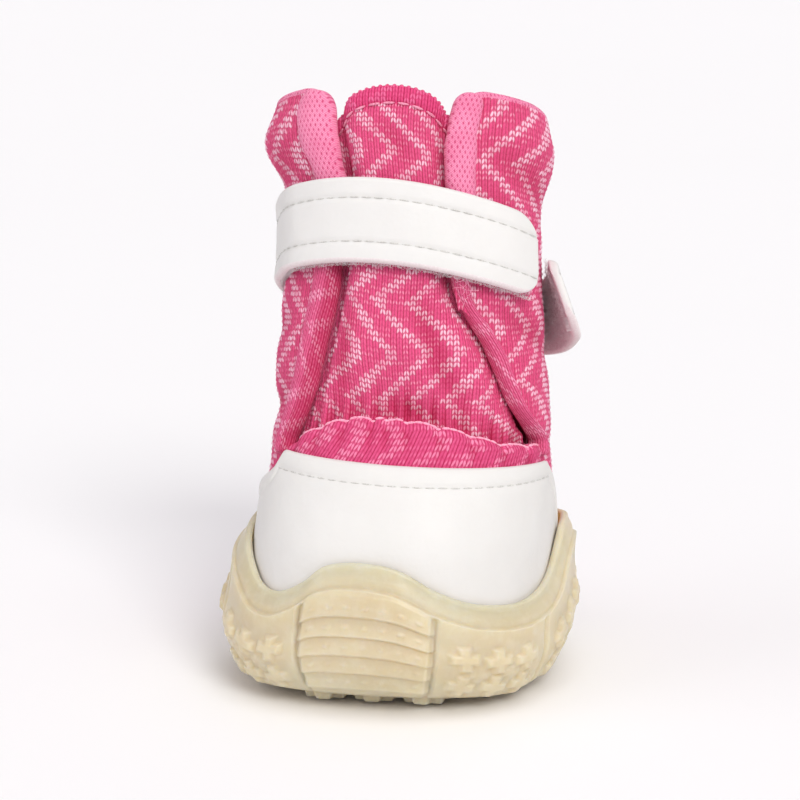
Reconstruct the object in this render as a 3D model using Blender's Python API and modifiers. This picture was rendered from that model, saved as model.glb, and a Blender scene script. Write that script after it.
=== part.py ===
"""Dog boot with a knitted upper, a toe cap, a strap and a cup sole of gum rubber.

Units are metres, +Z is up and the toe points along -Y. The origin is on the floor
under the middle of the sole. A place on the boot is given by three numbers, which
the function place turns into a point: the level of the last's ring that it lies on,
the bearing that it is seen at from the ring's middle (0 at the toe, 90 at +X), and
how far out of the last it is.
"""

import math
from collections import namedtuple

import bmesh
import bpy
from mathutils import Vector

# Driving sizes of the last
FOOT_LENGTH = 0.062
BALL_WIDTH = 0.0546
INSTEP_HEIGHT = 0.052
SHAFT_LENGTH = 0.050
SHAFT_SETBACK = 0.015
SHAFT_SWAY = 0.002
COLLAR_TILT = 21.0

# Walls and clearances
KNIT_WALL = 0.0024
TONGUE_WALL = 0.0022
CAP_WALL = 0.0012
STRAP_WALL = 0.0018
BINDING_WALL = 0.0015
GAP = 0.00036
TUCK_SLACK = 0.0004
CAP_SEAT = 0.00042

# Upper, its seam given as the tables give heights
CORNER_RADIUS = 0.0055
SEAM_HEIGHT = 0.838
SEAM_RISE = 0.0047
SMOOTH_ANGLE = 40.0

# Toe cap, its top given as the tables give heights
CAP_TOP = 0.817
CAP_FOOT = 0.0072
CAP_TIP = 0.0008

# Tongue, its foot given as the tables give heights and its lap in degrees
TONGUE_FOOT = 0.76
TONGUE_LAP = 10.0
TONGUE_MARGIN = 2.0
TONGUE_BULGE = 0.0008
TONGUE_SWELL = 0.014
TONGUE_PROUD = 0.0008
TONGUE_ROUND = 0.0042

# Bindings, widening to the flap over a stretch of the tables' heights
BINDING_WIDTH = 0.0045
BINDING_LAP = 0.0007
BINDING_FOOT = 0.0024
FLAP_WIDTH = 0.0062
FLAP_START = 1.60
FLAP_SPAN = 0.25

# Strap and closure tab, their ends and joins as bearings
STRAP_WIDTH = 0.0138
STRAP_HEIGHT = 0.0236
STRAP_RISE = 0.0046
STRAP_CANT = 0.0015
STRAP_END = 68.0
STRAP_OVER = 0.0024
STRAP_SNUG = 0.0006
SNUG_START_LEFT = 48.0
SNUG_START_RIGHT = 75.0
SNUG_SPAN = 26.0
STRAP_JOIN = 180.0
JOIN_GAP = 0.6
END_RADIUS = 0.0050
TAB_END = 82.0
TAB_FLARE = 0.0064

# Sole, its grooves as bearings mirrored to the other side
FLOOR_TOP = 0.0055
SOLE_CLEAR = 0.0014
TOE_SPRING = 0.0015
SPRING_START = 0.58
ARCH_RISE = 0.0008
ARCH_SPAN = 0.25
RIM_HEIGHT = 0.0285
RIM_WALL = 0.0013
RIM_ROUND = 0.0004
BAND_WIDTH = 0.0040
BAND_FLARE = 0.0011
STEP_DEPTH = 0.0008
SOLE_FLARE = 0.0053
GROOVE_WIDTH = 0.0012
GROOVE_DEPTH = 0.0010
GROOVE_EDGE = 0.8
GROOVES = (19.5, 61.0, 105.0, 160.5)
PAD_PROUD = 0.0004
SHINGLE_COUNT = 5
SHINGLE_DEPTH = 0.0008
SHINGLE_START = 0.10
SHINGLE_END = 0.95
SHINGLE_LIP = 0.012
LUG_SIZE = 0.0048
LUG_ARM = 0.0019
LUG_PROUD = 0.0008
LUG_ROOT = 0.0014
TREAD_SIZE = 0.0072
TREAD_ARM = 0.0030

# Insole
INSOLE_WALL = 0.0025

# Steps of the meshes: degrees a column, and how many columns and rows
SOLE_COLUMN = 9.0
CAP_COLUMN = 7.7
CAP_ROWS = 7
QUARTER_COLUMNS = 33
CORNER_STEPS = (0.15, 0.40, 0.80)
VAMP_COLUMNS = 15
INSTEP_ROWS = 8
SHAFT_ROWS = 9
TONGUE_ROWS = 13
TONGUE_COLUMNS = 13
BINDING_ROWS = 12
STRAP_COLUMNS = 29
TAB_COLUMNS = 12
END_STEPS = (0.0, 0.12, 0.4, 1.0)
INSOLE_SIDES = 40
UNDERSIDE_SHARES = (0.30, 0.62, 0.86)
CUP_SHARES = (0.75, 0.50, 0.25, 0.0)

# The last's rings. Heights run 0 to 1 over the instep height and 1 to 2 over the
# shaft. Setback, sway and tilt are shares of their values at the collar, half_width
# is a share of the ball width, fore and aft are shares of the foot length, and
# square is the power of the ring's rounded outline, 2 for an ellipse.
Ring = namedtuple("Ring", "height setback sway tilt half_width fore aft square")
LAST = (
    Ring(0.112, 0.000, 0.00, 0.000, 0.482, 0.473, 0.476, 2.50),
    Ring(0.231, 0.000, 0.12, 0.000, 0.497, 0.498, 0.498, 2.50),
    Ring(0.423, 0.000, 0.45, 0.000, 0.482, 0.504, 0.500, 2.40),
    Ring(0.577, 0.000, 0.85, 0.048, 0.476, 0.497, 0.476, 2.35),
    Ring(0.731, 0.033, 1.00, 0.143, 0.469, 0.452, 0.444, 2.30),
    Ring(0.865, 0.067, 1.05, 0.286, 0.460, 0.387, 0.419, 2.25),
    Ring(1.000, 0.167, 1.00, 0.429, 0.458, 0.347, 0.387, 2.20),
    Ring(1.192, 0.300, 0.65, 0.571, 0.450, 0.319, 0.355, 2.15),
    Ring(1.462, 0.500, 0.65, 0.714, 0.430, 0.306, 0.331, 2.10),
    Ring(1.692, 0.707, 0.25, 0.843, 0.436, 0.303, 0.321, 2.10),
    Ring(1.865, 0.867, -0.35, 0.929, 0.490, 0.306, 0.316, 2.15),
    Ring(2.000, 1.000, -0.30, 1.000, 0.462, 0.313, 0.315, 2.20),
)

# Bearings of the throat's two edges, up the shaft
Throat = namedtuple("Throat", "height left right")
THROAT = (
    Throat(0.865, 50.0, 79.0),
    Throat(0.981, 45.0, 61.0),
    Throat(1.173, 38.5, 50.0),
    Throat(1.365, 35.0, 33.5),
    Throat(1.692, 31.5, 30.0),
    Throat(1.846, 33.0, 31.0),
    Throat(2.000, 35.5, 34.0),
)

# The vamp's top edge from its left end (across 0) to its right one (across 1), with
# how far it rises as a share of SEAM_RISE
Seam = namedtuple("Seam", "across rise")
SEAM = (
    Seam(0.00, 0.00),
    Seam(0.08, 0.42),
    Seam(0.22, 0.94),
    Seam(0.38, 1.00),
    Seam(0.52, 0.89),
    Seam(0.64, 0.64),
    Seam(0.77, 0.27),
    Seam(1.00, 0.00),
)

# Bearings of the toe cap's side edges
Side = namedtuple("Side", "height left right")
CAP_SIDES = (
    Side(0.385, 97.0, 97.0),
    Side(0.577, 94.0, 95.0),
    Side(0.640, 80.0, 92.0),
    Side(0.710, 63.0, 88.0),
    Side(0.765, 50.0, 83.0),
    Side(0.817, 46.0, 76.0),
)

# Height of the sole's rim round the boot, as a share of RIM_HEIGHT
Rim = namedtuple("Rim", "bearing share")
RIM = (
    Rim(-140.0, 0.960),
    Rim(-100.0, 1.010),
    Rim(-78.0, 0.990),
    Rim(-62.0, 0.940),
    Rim(-50.0, 0.855),
    Rim(-40.0, 0.765),
    Rim(-31.0, 0.755),
    Rim(-22.0, 0.840),
    Rim(-15.0, 0.955),
    Rim(-5.0, 0.990),
    Rim(8.0, 0.957),
    Rim(20.0, 0.830),
    Rim(32.0, 0.735),
    Rim(48.0, 0.682),
    Rim(60.0, 0.695),
    Rim(73.0, 0.765),
    Rim(97.0, 1.020),
    Rim(140.0, 0.980),
    Rim(180.0, 1.000),
)

# The sole's wall from its lower edge (rise 0) to the foot of the band (rise 1),
# with how far it stands out of the last as a share of SOLE_FLARE
Wall = namedtuple("Wall", "rise flare")
WALL = (
    Wall(0.00, -0.10),
    Wall(0.06, 0.36),
    Wall(0.17, 0.68),
    Wall(0.34, 0.90),
    Wall(0.55, 1.00),
    Wall(0.76, 0.95),
)

# Side lugs: bearings, mirrored to the other side, and the two levels they stand on
LUG_BEARINGS = (29.0, 40.0, 51.0, 72.0, 83.0, 94.0, 124.0, 142.0)
LUG_LEVELS = (0.22, 0.60)

# Tread lugs: place along the sole as a share of half the foot's length, toe negative,
# how many stand in the row, and their spacing
Tread = namedtuple("Tread", "along count spacing")
TREAD = (
    Tread(-0.76, 3, 0.0090),
    Tread(-0.45, 3, 0.0150),
    Tread(0.50, 3, 0.0150),
    Tread(0.78, 3, 0.0090),
)

# A binding's cross-section, as shares of its width and of its wall
Lens = namedtuple("Lens", "across rise")
LENS = (
    Lens(0.00, 0.10),
    Lens(0.12, 0.70),
    Lens(0.35, 1.00),
    Lens(0.65, 1.00),
    Lens(0.90, 0.60),
    Lens(1.00, 0.10),
    Lens(0.90, 0.00),
    Lens(0.12, 0.00),
)

# The closure tab: how far its middle line lies under the strap's height, as a share
# of that height, and how far its lower and upper edges stand out, as shares of
# TAB_FLARE. Its free end is twisted, so that the lower corner stands off the shaft.
Tab = namedtuple("Tab", "bearing drop lower upper")
TAB = (
    Tab(82.0, 0.186, 1.00, 0.22),
    Tab(95.0, 0.263, 0.80, 0.18),
    Tab(110.0, 0.352, 0.50, 0.13),
    Tab(130.0, 0.370, 0.20, 0.10),
    Tab(165.0, 0.237, 0.10, 0.10),
    Tab(180.0, 0.195, 0.10, 0.10),
)


def smooth_read(places, values, at):
    """The value at a place on a smooth curve through the points, level past its ends."""
    if at <= places[0]:
        return values[0]
    if at >= places[-1]:
        return values[-1]
    i = max(k for k in range(len(places) - 1) if places[k] <= at)
    span = places[i + 1] - places[i]
    chord = (values[i + 1] - values[i]) / span

    def slope(k):
        if k == 0 or k == len(places) - 1:
            return chord
        rise = values[k + 1] - values[k - 1]
        return rise / (places[k + 1] - places[k - 1])

    t = (at - places[i]) / span
    near = (1 + 2 * t) * (1 - t) ** 2 * values[i] + t * (1 - t) ** 2 * span * slope(i)
    far = t * t * (3 - 2 * t) * values[i + 1] - t * t * (1 - t) * span * slope(i + 1)
    return near + far


def column_of(table, name):
    return [getattr(row, name) for row in table]


def ease(t):
    t = min(max(t, 0.0), 1.0)
    return t * t * (3 - 2 * t)


def blend(a, b, t):
    return a + (b - a) * t


def height_share(level):
    """A level in metres as the height that the tables use."""
    if level < INSTEP_HEIGHT:
        return level / INSTEP_HEIGHT
    return 1 + (level - INSTEP_HEIGHT) / SHAFT_LENGTH


def level_of(share):
    """The level in metres of a height that the tables use."""
    return min(share, 1.0) * INSTEP_HEIGHT + max(share - 1.0, 0.0) * SHAFT_LENGTH


COLLAR = level_of(2.0)


def ring_at(level):
    """The last's ring at a level, in metres and degrees."""
    share = height_share(level)
    heights = column_of(LAST, "height")
    read = {
        name: smooth_read(heights, column_of(LAST, name), share)
        for name in Ring._fields[1:]
    }
    return Ring(
        level,
        read["setback"] * SHAFT_SETBACK,
        read["sway"] * SHAFT_SWAY,
        math.radians(read["tilt"] * COLLAR_TILT),
        read["half_width"] * BALL_WIDTH,
        read["fore"] * FOOT_LENGTH,
        read["aft"] * FOOT_LENGTH,
        read["square"],
    )


def ring_radius(ring, bearing):
    side = abs(math.sin(bearing)) / ring.half_width
    along = abs(math.cos(bearing)) / (ring.fore if math.cos(bearing) > 0 else ring.aft)
    return (side**ring.square + along**ring.square) ** (-1 / ring.square)


def place(level, bearing, out=0.0, share=1.0):
    """The point at a level and bearing, out of the last, at a share of the way."""
    ring = ring_at(level)
    turn = math.radians(bearing)
    radius = (ring_radius(ring, turn) + out) * share
    ahead = radius * math.cos(turn)
    return Vector(
        (
            ring.sway + radius * math.sin(turn),
            ring.setback - ahead * math.cos(ring.tilt),
            level + ahead * math.sin(ring.tilt),
        )
    )


def degrees_of(length, level, bearing):
    """The bearing that a length takes up along the ring there."""
    return math.degrees(length / ring_radius(ring_at(level), math.radians(bearing)))


def throat_edges(level):
    """Bearings of the throat's left and right edges, the left one negative."""
    share = height_share(level)
    heights = column_of(THROAT, "height")
    left = smooth_read(heights, column_of(THROAT, "left"), share)
    right = smooth_read(heights, column_of(THROAT, "right"), share)
    return -left, right


def seam_level(bearing):
    """The vamp's top edge, where the tongue is sewn on: highest left of the middle."""
    left, right = throat_edges(level_of(SEAM_HEIGHT))
    across = (bearing - left) / (right - left)
    rise = smooth_read(column_of(SEAM, "across"), column_of(SEAM, "rise"), across)
    return level_of(SEAM_HEIGHT) + SEAM_RISE * rise


def collar_level(bearing):
    """The quarters' top edge, rounded off at each side of the throat."""
    left, right = throat_edges(COLLAR)
    turned = (bearing + 180) % 360 - 180
    inside = turned - right if turned > 0 else left - turned
    from_edge = math.radians(inside) * ring_radius(ring_at(COLLAR), math.radians(right))
    short = max(CORNER_RADIUS - from_edge, 0.0)
    return COLLAR - CORNER_RADIUS + math.sqrt(max(CORNER_RADIUS**2 - short**2, 0.0))


def material(name, colour, roughness):
    made = bpy.data.materials.new(name)
    made.use_nodes = True
    shader = made.node_tree.nodes["Principled BSDF"]
    shader.inputs["Base Color"].default_value = (*colour, 1.0)
    shader.inputs["Roughness"].default_value = roughness
    shader.inputs["Metallic"].default_value = 0.0
    return made


def spread(first, last, count):
    return [blend(first, last, i / (count - 1)) for i in range(count)]


def loft(mesh, rows, closed):
    """Joins rows of points with faces. A row of one point is a pole."""
    made = [[mesh.verts.new(point) for point in row] for row in rows]
    for low, high in zip(made, made[1:]):
        join_rows(mesh, low, high, closed)
    return made


def join_rows(mesh, low, high, closed):
    count = max(len(low), len(high))
    for i in range(count if closed else count - 1):
        j = (i + 1) % count
        if len(low) == 1:
            mesh.faces.new((low[0], high[j], high[i]))
        elif len(high) == 1:
            mesh.faces.new((low[i], low[j], high[0]))
        else:
            mesh.faces.new((low[i], low[j], high[j], high[i]))


def add_object(name, mesh, look, folder):
    """Makes the named object from a bmesh, in the boot's collection."""
    data = bpy.data.meshes.new(name)
    mesh.to_mesh(data)
    mesh.free()
    data.shade_smooth()
    data.set_sharp_from_angle(angle=math.radians(SMOOTH_ANGLE))
    made = bpy.data.objects.new(name, data)
    made.data.materials.append(look)
    folder.objects.link(made)
    return made


def thicken(made, wall, outwards):
    """Gives an open surface its wall, on its outer or its inner side."""
    solidify = made.modifiers.new("wall", "SOLIDIFY")
    solidify.thickness = wall
    solidify.offset = 1.0 if outwards else -1.0
    solidify.use_rim = True


def bottom_level():
    return FLOOR_TOP + GAP


def quarter_bearings(level):
    """Bearings from the right throat edge round the back to the left one."""
    left, right = throat_edges(level)
    span = 360 + left - right
    near = [0.0]
    for share in CORNER_STEPS:
        near.append(degrees_of(share * CORNER_RADIUS, level, right) / span)
    middle = spread(near[-1], 1 - near[-1], QUARTER_COLUMNS - 2 * len(CORNER_STEPS) + 1)[1:-1]
    far = [1 - share for share in reversed(near)]
    return [right + span * share for share in near + middle + far]


def vamp_bearings(level):
    """Bearings from the left throat edge over the toe to the right one."""
    left, right = throat_edges(level)
    return [360 + b for b in spread(left, right, VAMP_COLUMNS + 1)][1:-1]


def make_upper(folder):
    """The vamp is a ring of knit, and the two quarters rise from it round the throat."""
    seam = level_of(SEAM_HEIGHT)
    around = quarter_bearings(seam)
    front = vamp_bearings(seam)
    mesh = bmesh.new()
    rows = []
    for share in spread(0.0, 1.0, INSTEP_ROWS + 1):
        row = [place(blend(bottom_level(), seam, share), b) for b in around]
        row += [place(blend(bottom_level(), seam_level(b - 360), share), b) for b in front]
        rows.append(row)
    low = loft(mesh, rows, closed=True)[-1][: len(around)]
    for share in spread(0.0, 1.0, SHAFT_ROWS + 1)[1:]:
        bearings = quarter_bearings(blend(seam, COLLAR, share))
        points = [place(blend(seam, collar_level(b), share), b) for b in bearings]
        high = [mesh.verts.new(point) for point in points]
        join_rows(mesh, low, high, closed=False)
        low = high
    look = material("knit_upper", (0.70, 0.055, 0.20), 0.85)
    upper = add_object("upper", mesh, look, folder)
    thicken(upper, KNIT_WALL, outwards=False)


def tongue_out(level, bearing):
    """How far the tongue stands out: tucked in at its edges, full in the throat."""
    left, right = throat_edges(level)
    inside = min(bearing - left, right - bearing)
    across = ease((inside - TONGUE_MARGIN) / TONGUE_LAP)
    above = ease((level - seam_level(bearing)) / TONGUE_SWELL)
    tucked = -(KNIT_WALL + TUCK_SLACK + GAP)
    return blend(tucked, TONGUE_BULGE, across * above)


def tongue_top(bearing):
    left, right = throat_edges(COLLAR)
    across = 2 * bearing / (right - left)
    return COLLAR + TONGUE_PROUD - TONGUE_ROUND * across * across


def make_tongue(folder):
    """A curved panel under both throat edges, its foot sewn under the vamp."""
    rows = []
    for share in spread(0.0, 1.0, TONGUE_ROWS + 1):
        foot = level_of(TONGUE_FOOT)
        left, right = throat_edges(blend(foot, COLLAR, share))
        row = []
        for bearing in spread(left - TONGUE_LAP, right + TONGUE_LAP, TONGUE_COLUMNS + 1):
            level = blend(foot, tongue_top(bearing), share)
            row.append(place(level, bearing, tongue_out(level, bearing)))
        rows.append(row)
    mesh = bmesh.new()
    loft(mesh, rows, closed=False)
    look = material("knit_tongue", (0.66, 0.045, 0.18), 0.85)
    tongue = add_object("tongue", mesh, look, folder)
    thicken(tongue, TONGUE_WALL, outwards=False)


def cap_top(bearing):
    """The level of the toe cap's edge: level over the vamp, falling at both sides."""
    bearings = column_of(CAP_SIDES, "left" if bearing < 0 else "right")[::-1]
    heights = column_of(CAP_SIDES, "height")[::-1]
    level = level_of(smooth_read(bearings, heights, abs(bearing)))
    return level - CAP_TIP * bearing / bearings[0]


def cap_bearings():
    """Columns over the cap, closer together at the sides, where its edge falls away."""
    left = column_of(CAP_SIDES, "left")
    right = column_of(CAP_SIDES, "right")
    first = (left[0] + left[1] * 2) / 3
    last = (right[0] + right[1] * 2) / 3
    marks = [-left[0], -first] + [-b for b in left[1:]]
    marks += right[:0:-1] + [last, right[0]]
    bearings = marks[:1]
    for here, following in zip(marks, marks[1:]):
        count = math.ceil((following - here) / CAP_COLUMN) + 1
        bearings += spread(here, following, count)[1:]
    return bearings


def make_toe_cap(folder):
    """Lies on the vamp, from inside the cup sole up to its stitched top edge."""
    bearings = cap_bearings()
    rows = []
    for share in spread(0.0, 1.0, CAP_ROWS + 1):
        levels = [blend(CAP_FOOT, cap_top(b), share) for b in bearings]
        rows.append([place(level, b, CAP_SEAT) for level, b in zip(levels, bearings)])
    mesh = bmesh.new()
    loft(mesh, rows, closed=False)
    look = material("toe_cap_leather", (0.86, 0.85, 0.83), 0.5)
    cap = add_object("toe_cap", mesh, look, folder)
    thicken(cap, CAP_WALL, outwards=True)


def binding_width(level):
    """Wider near the collar, where the lining is folded out over the flap."""
    flap = ease((height_share(level) - FLAP_START) / FLAP_SPAN)
    return blend(BINDING_WIDTH, FLAP_WIDTH, flap)


def make_binding(name, side, folder):
    """The lining rolled over one throat edge: a flat lens run along the edge."""
    foot = level_of(CAP_TOP) + CAP_TIP + BINDING_FOOT
    top = COLLAR - CORNER_RADIUS / 2
    rows = []
    for share in spread(0.0, 1.0, BINDING_ROWS + 1):
        level = blend(foot, top, share)
        left, right = throat_edges(level)
        edge = left if side < 0 else right
        width = BINDING_WIDTH if side > 0 else binding_width(level)
        row = []
        for corner in LENS:
            reach = degrees_of(corner.across * width - BINDING_LAP, level, edge)
            out = GAP + corner.rise * BINDING_WALL
            row.append(place(level, edge + side * reach, out))
        rows.append(row if side < 0 else row[::-1])
    mesh = bmesh.new()
    made = loft(mesh, rows, closed=True)
    mesh.faces.new(made[0][::-1])
    mesh.faces.new(made[-1])
    bmesh.ops.recalc_face_normals(mesh, faces=mesh.faces)
    look = material(name + "_mesh", (0.80, 0.22, 0.37), 0.9)
    add_object(name, mesh, look, folder)


def strap_level(bearing):
    """The strap's middle line, canted round the shaft."""
    turn = math.radians(bearing)
    middle = INSTEP_HEIGHT + STRAP_HEIGHT
    return middle + STRAP_RISE * math.cos(turn) - STRAP_CANT * math.sin(turn)


def strap_out(bearing, side):
    """Over the bindings and the tongue in front, close to the knit behind."""
    start = SNUG_START_LEFT if bearing < 0 else SNUG_START_RIGHT
    settled = ease((abs(bearing) - start) / SNUG_SPAN)
    return blend(STRAP_OVER, STRAP_SNUG, settled)


def tab_level(bearing):
    bearings = column_of(TAB, "bearing")
    drop = smooth_read(bearings, column_of(TAB, "drop"), bearing)
    return INSTEP_HEIGHT + STRAP_HEIGHT - drop * STRAP_HEIGHT


def tab_out(bearing, side):
    """Side is -1 on the lower edge and 1 on the upper one."""
    bearings = column_of(TAB, "bearing")
    lower = smooth_read(bearings, column_of(TAB, "lower"), bearing)
    upper = smooth_read(bearings, column_of(TAB, "upper"), bearing)
    return TAB_FLARE * blend(lower, upper, (side + 1) / 2)


def band_half_width(from_end):
    """Half the strap's width, rounded off towards its free end."""
    short = max(END_RADIUS - from_end, 0.0)
    rounding = END_RADIUS - math.sqrt(max(END_RADIUS**2 - short**2, 0.0))
    return STRAP_WIDTH / 2 - rounding


def make_band(name, bearings, level_at, out_at, free_end, look, folder):
    """A flat band round the shaft with one rounded, free end."""
    rows = [[], [], []]
    for bearing in bearings:
        level = level_at(bearing)
        radius = ring_radius(ring_at(level), math.radians(bearing)) + out_at(bearing, 0)
        half = band_half_width(math.radians(abs(free_end - bearing)) * radius)
        for row, side in zip(rows, (-1, 0, 1)):
            row.append(place(level + side * half, bearing, out_at(bearing, side)))
    mesh = bmesh.new()
    loft(mesh, rows, closed=False)
    band = add_object(name, mesh, look, folder)
    thicken(band, STRAP_WALL, outwards=True)


def end_columns(free_end, towards, radius):
    """Bearings close together near a free end, where its corners are rounded."""
    step = math.degrees(END_RADIUS / radius)
    return [free_end + towards * step * share for share in END_STEPS]


def make_strap(folder):
    near = end_columns(STRAP_END, -1, BALL_WIDTH / 2)
    start = JOIN_GAP - STRAP_JOIN
    bearings = spread(start, near[-1], STRAP_COLUMNS + 1) + near[-2::-1]
    look = material("strap_leather", (0.88, 0.87, 0.85), 0.5)
    make_band("strap", bearings, strap_level, strap_out, STRAP_END, look, folder)


def make_closure_tab(folder):
    near = end_columns(TAB_END, 1, BALL_WIDTH / 2 + TAB_FLARE)
    bearings = near + spread(near[-1], STRAP_JOIN - JOIN_GAP, TAB_COLUMNS + 1)[1:]
    look = material("tab_leather", (0.88, 0.87, 0.85), 0.5)
    make_band("closure_tab", bearings, tab_level, tab_out, TAB_END, look, folder)


def make_insole(folder):
    """A flat pad inside the upper, on the rubber floor."""
    inset = -(KNIT_WALL + TUCK_SLACK + GAP)
    bearings = spread(0.0, 360.0, INSOLE_SIDES + 1)[:-1]
    outline = [place(bottom_level(), b, inset) for b in bearings]
    mesh = bmesh.new()
    face = mesh.faces.new([mesh.verts.new(point) for point in outline])
    pushed = bmesh.ops.extrude_face_region(mesh, geom=[face])
    moved = [v for v in pushed["geom"] if isinstance(v, bmesh.types.BMVert)]
    bmesh.ops.translate(mesh, verts=moved, vec=(0, 0, INSOLE_WALL))
    bmesh.ops.recalc_face_normals(mesh, faces=mesh.faces)
    look = material("insole_cloth", (0.75, 0.25, 0.38), 0.95)
    add_object("insole", mesh, look, folder)


def rim_level(bearing):
    """The wavy top of the cup, high over the toe, at both sides and behind."""
    turned = (bearing + 180) % 360 - 180
    last = RIM[-1]
    places = [last.bearing - 360] + column_of(RIM, "bearing")
    shares = [last.share] + column_of(RIM, "share")
    return RIM_HEIGHT * smooth_read(places, shares, turned)


def cup_out(bearing):
    """The cup's inner face: clear of the toe cap in front, of the knit behind."""
    turned = abs((bearing + 180) % 360 - 180)
    over_cap = CAP_SEAT + CAP_WALL + GAP
    behind = CAP_SIDES[0].left
    return blend(over_cap, GAP, ease((turned - behind - SOLE_COLUMN) / SOLE_COLUMN))


def spring_at(point):
    """How far the underside rises at a point: under the toe and in the arch."""
    along = point.y / (FOOT_LENGTH / 2)
    toe = TOE_SPRING * ease((-along - SPRING_START) / (1 - SPRING_START))
    arch = ARCH_RISE * ease(1 - abs(along) / ARCH_SPAN)
    return toe + arch


def groove_half():
    """Half the angle that a groove takes up, with its two flanks."""
    return math.degrees(GROOVE_WIDTH / BALL_WIDTH)


def groove_at(bearing):
    """How deep the wall's upright grooves are at a bearing."""
    turned = abs((bearing + 180) % 360 - 180)
    nearest = min(abs(turned - groove) for groove in GROOVES)
    return GROOVE_DEPTH if nearest < GROOVE_EDGE * groove_half() else 0.0


def in_pad(bearing):
    """True on the ribbed pads at the toe and the heel."""
    turned = abs((bearing + 180) % 360 - 180)
    edge = GROOVE_EDGE * groove_half()
    return turned < GROOVES[0] - edge or turned > GROOVES[-1] + edge


def shingle_rises():
    """Two rows for each rib of the pads, just below and just above its ledge."""
    pitch = (SHINGLE_END - SHINGLE_START) / SHINGLE_COUNT
    rises = []
    for i in range(SHINGLE_COUNT):
        ledge = SHINGLE_START + i * pitch
        rises += [(ledge, 0.0), (ledge + SHINGLE_LIP, 1.0)]
    return rises + [(SHINGLE_END, 0.0)]


def wall_out(bearing, rise):
    """How far the sole's wall stands out of the last."""
    foot = cup_out(bearing) + RIM_WALL + BAND_FLARE + STEP_DEPTH
    rises = column_of(WALL, "rise") + [1.0]
    flares = [flare * SOLE_FLARE for flare in column_of(WALL, "flare")] + [foot]
    return smooth_read(rises, flares, rise)


def sole_bearings():
    """Four columns at each groove, and even ones between."""
    half = groove_half()
    marks = sorted([-groove for groove in GROOVES] + list(GROOVES))
    bearings = []
    for here, following in zip(marks, marks[1:] + [marks[0] + 360]):
        bearings += [here - half, here - half / 2, here + half / 2]
        count = round((following - here) / SOLE_COLUMN) + 1
        bearings += spread(here + half, following - half, count)[:-1]
    return bearings


def sole_rows(bearings):
    """The sole's skin, from the middle of its underside up and over into the cup."""
    def wall_point(bearing, rise, proud):
        band_foot = rim_level(bearing) - BAND_WIDTH
        edge = place(SOLE_CLEAR, bearing, wall_out(bearing, 0.0))
        low = SOLE_CLEAR + spring_at(edge)
        out = wall_out(bearing, rise)
        if in_pad(bearing) and 0 < rise < 1:
            out += PAD_PROUD + proud * SHINGLE_DEPTH
        if rise < 1:
            out -= groove_at(bearing)
        return place(blend(low, band_foot, rise), bearing, out)

    rows = [[Vector((0, 0, SOLE_CLEAR + ARCH_RISE))]]
    for share in UNDERSIDE_SHARES:
        row = []
        for bearing in bearings:
            point = place(SOLE_CLEAR, bearing, wall_out(bearing, 0.0), share)
            row.append(point + Vector((0, 0, spring_at(point))))
        rows.append(row)
    rows.append([wall_point(bearing, 0.0, 0.0) for bearing in bearings])
    rows.append([wall_point(bearing, WALL[1].rise, 0.0) for bearing in bearings])
    for rise, proud in shingle_rises():
        rows.append([wall_point(bearing, rise, proud) for bearing in bearings])
    rows.append([wall_point(bearing, 1.0, 0.0) for bearing in bearings])
    band = RIM_WALL + BAND_FLARE
    lip = (
        (-BAND_WIDTH + STEP_DEPTH / 2, band),
        (-BAND_WIDTH / 2, (band + RIM_WALL) / 2),
        (-RIM_ROUND, RIM_WALL),
        (0.0, RIM_WALL - RIM_ROUND),
        (0.0, RIM_ROUND),
        (-RIM_ROUND, 0.0),
    )
    for drop, out in lip:
        rows.append([place(rim_level(b) + drop, b, cup_out(b) + out) for b in bearings])
    for share in CUP_SHARES:
        row = []
        for b in bearings:
            level = blend(FLOOR_TOP, rim_level(b) - RIM_ROUND, share)
            row.append(place(level, b, cup_out(b)))
        rows.append(row)
    rows.append([Vector((0, 0, FLOOR_TOP))])
    return rows


def plus_lug(mesh, centre, across, upwards, size, arm, root, proud):
    """A plus-shaped lug, from its root inside the rubber to its proud face."""
    outwards = across.cross(upwards)
    tip, side = size / 2, arm / 2
    corner = ((side, side), (side, tip), (-side, tip), (-side, side))
    verts = []
    for quarter in range(4):
        turn = quarter * math.pi / 2
        for x, y in corner[:3]:
            along = x * math.cos(turn) - y * math.sin(turn)
            aloft = x * math.sin(turn) + y * math.cos(turn)
            flat = centre + along * across + aloft * upwards
            verts.append(mesh.verts.new(flat - root * outwards))
    face = mesh.faces.new(verts)
    pushed = bmesh.ops.extrude_face_region(mesh, geom=[face])
    moved = [v for v in pushed["geom"] if isinstance(v, bmesh.types.BMVert)]
    bmesh.ops.translate(mesh, verts=moved, vec=(root + proud) * outwards)


def make_side_lugs(mesh):
    for bearing in [sign * b for sign in (-1, 1) for b in LUG_BEARINGS]:
        for rise in LUG_LEVELS:
            low = SOLE_CLEAR + spring_at(place(SOLE_CLEAR, bearing))
            level = blend(low, rim_level(bearing) - BAND_WIDTH, rise)
            centre = place(level, bearing, wall_out(bearing, rise))
            further = bearing + groove_half()
            beside = place(level, further, wall_out(further, rise))
            higher = rise + LUG_ARM / (rim_level(bearing) - BAND_WIDTH - low)
            above = place(level + LUG_ARM, bearing, wall_out(bearing, higher))
            across = (beside - centre).normalized()
            outwards = across.cross(above - centre).normalized()
            upwards = outwards.cross(across)
            plus_lug(mesh, centre, across, upwards, LUG_SIZE, LUG_ARM, LUG_ROOT, LUG_PROUD)


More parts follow.
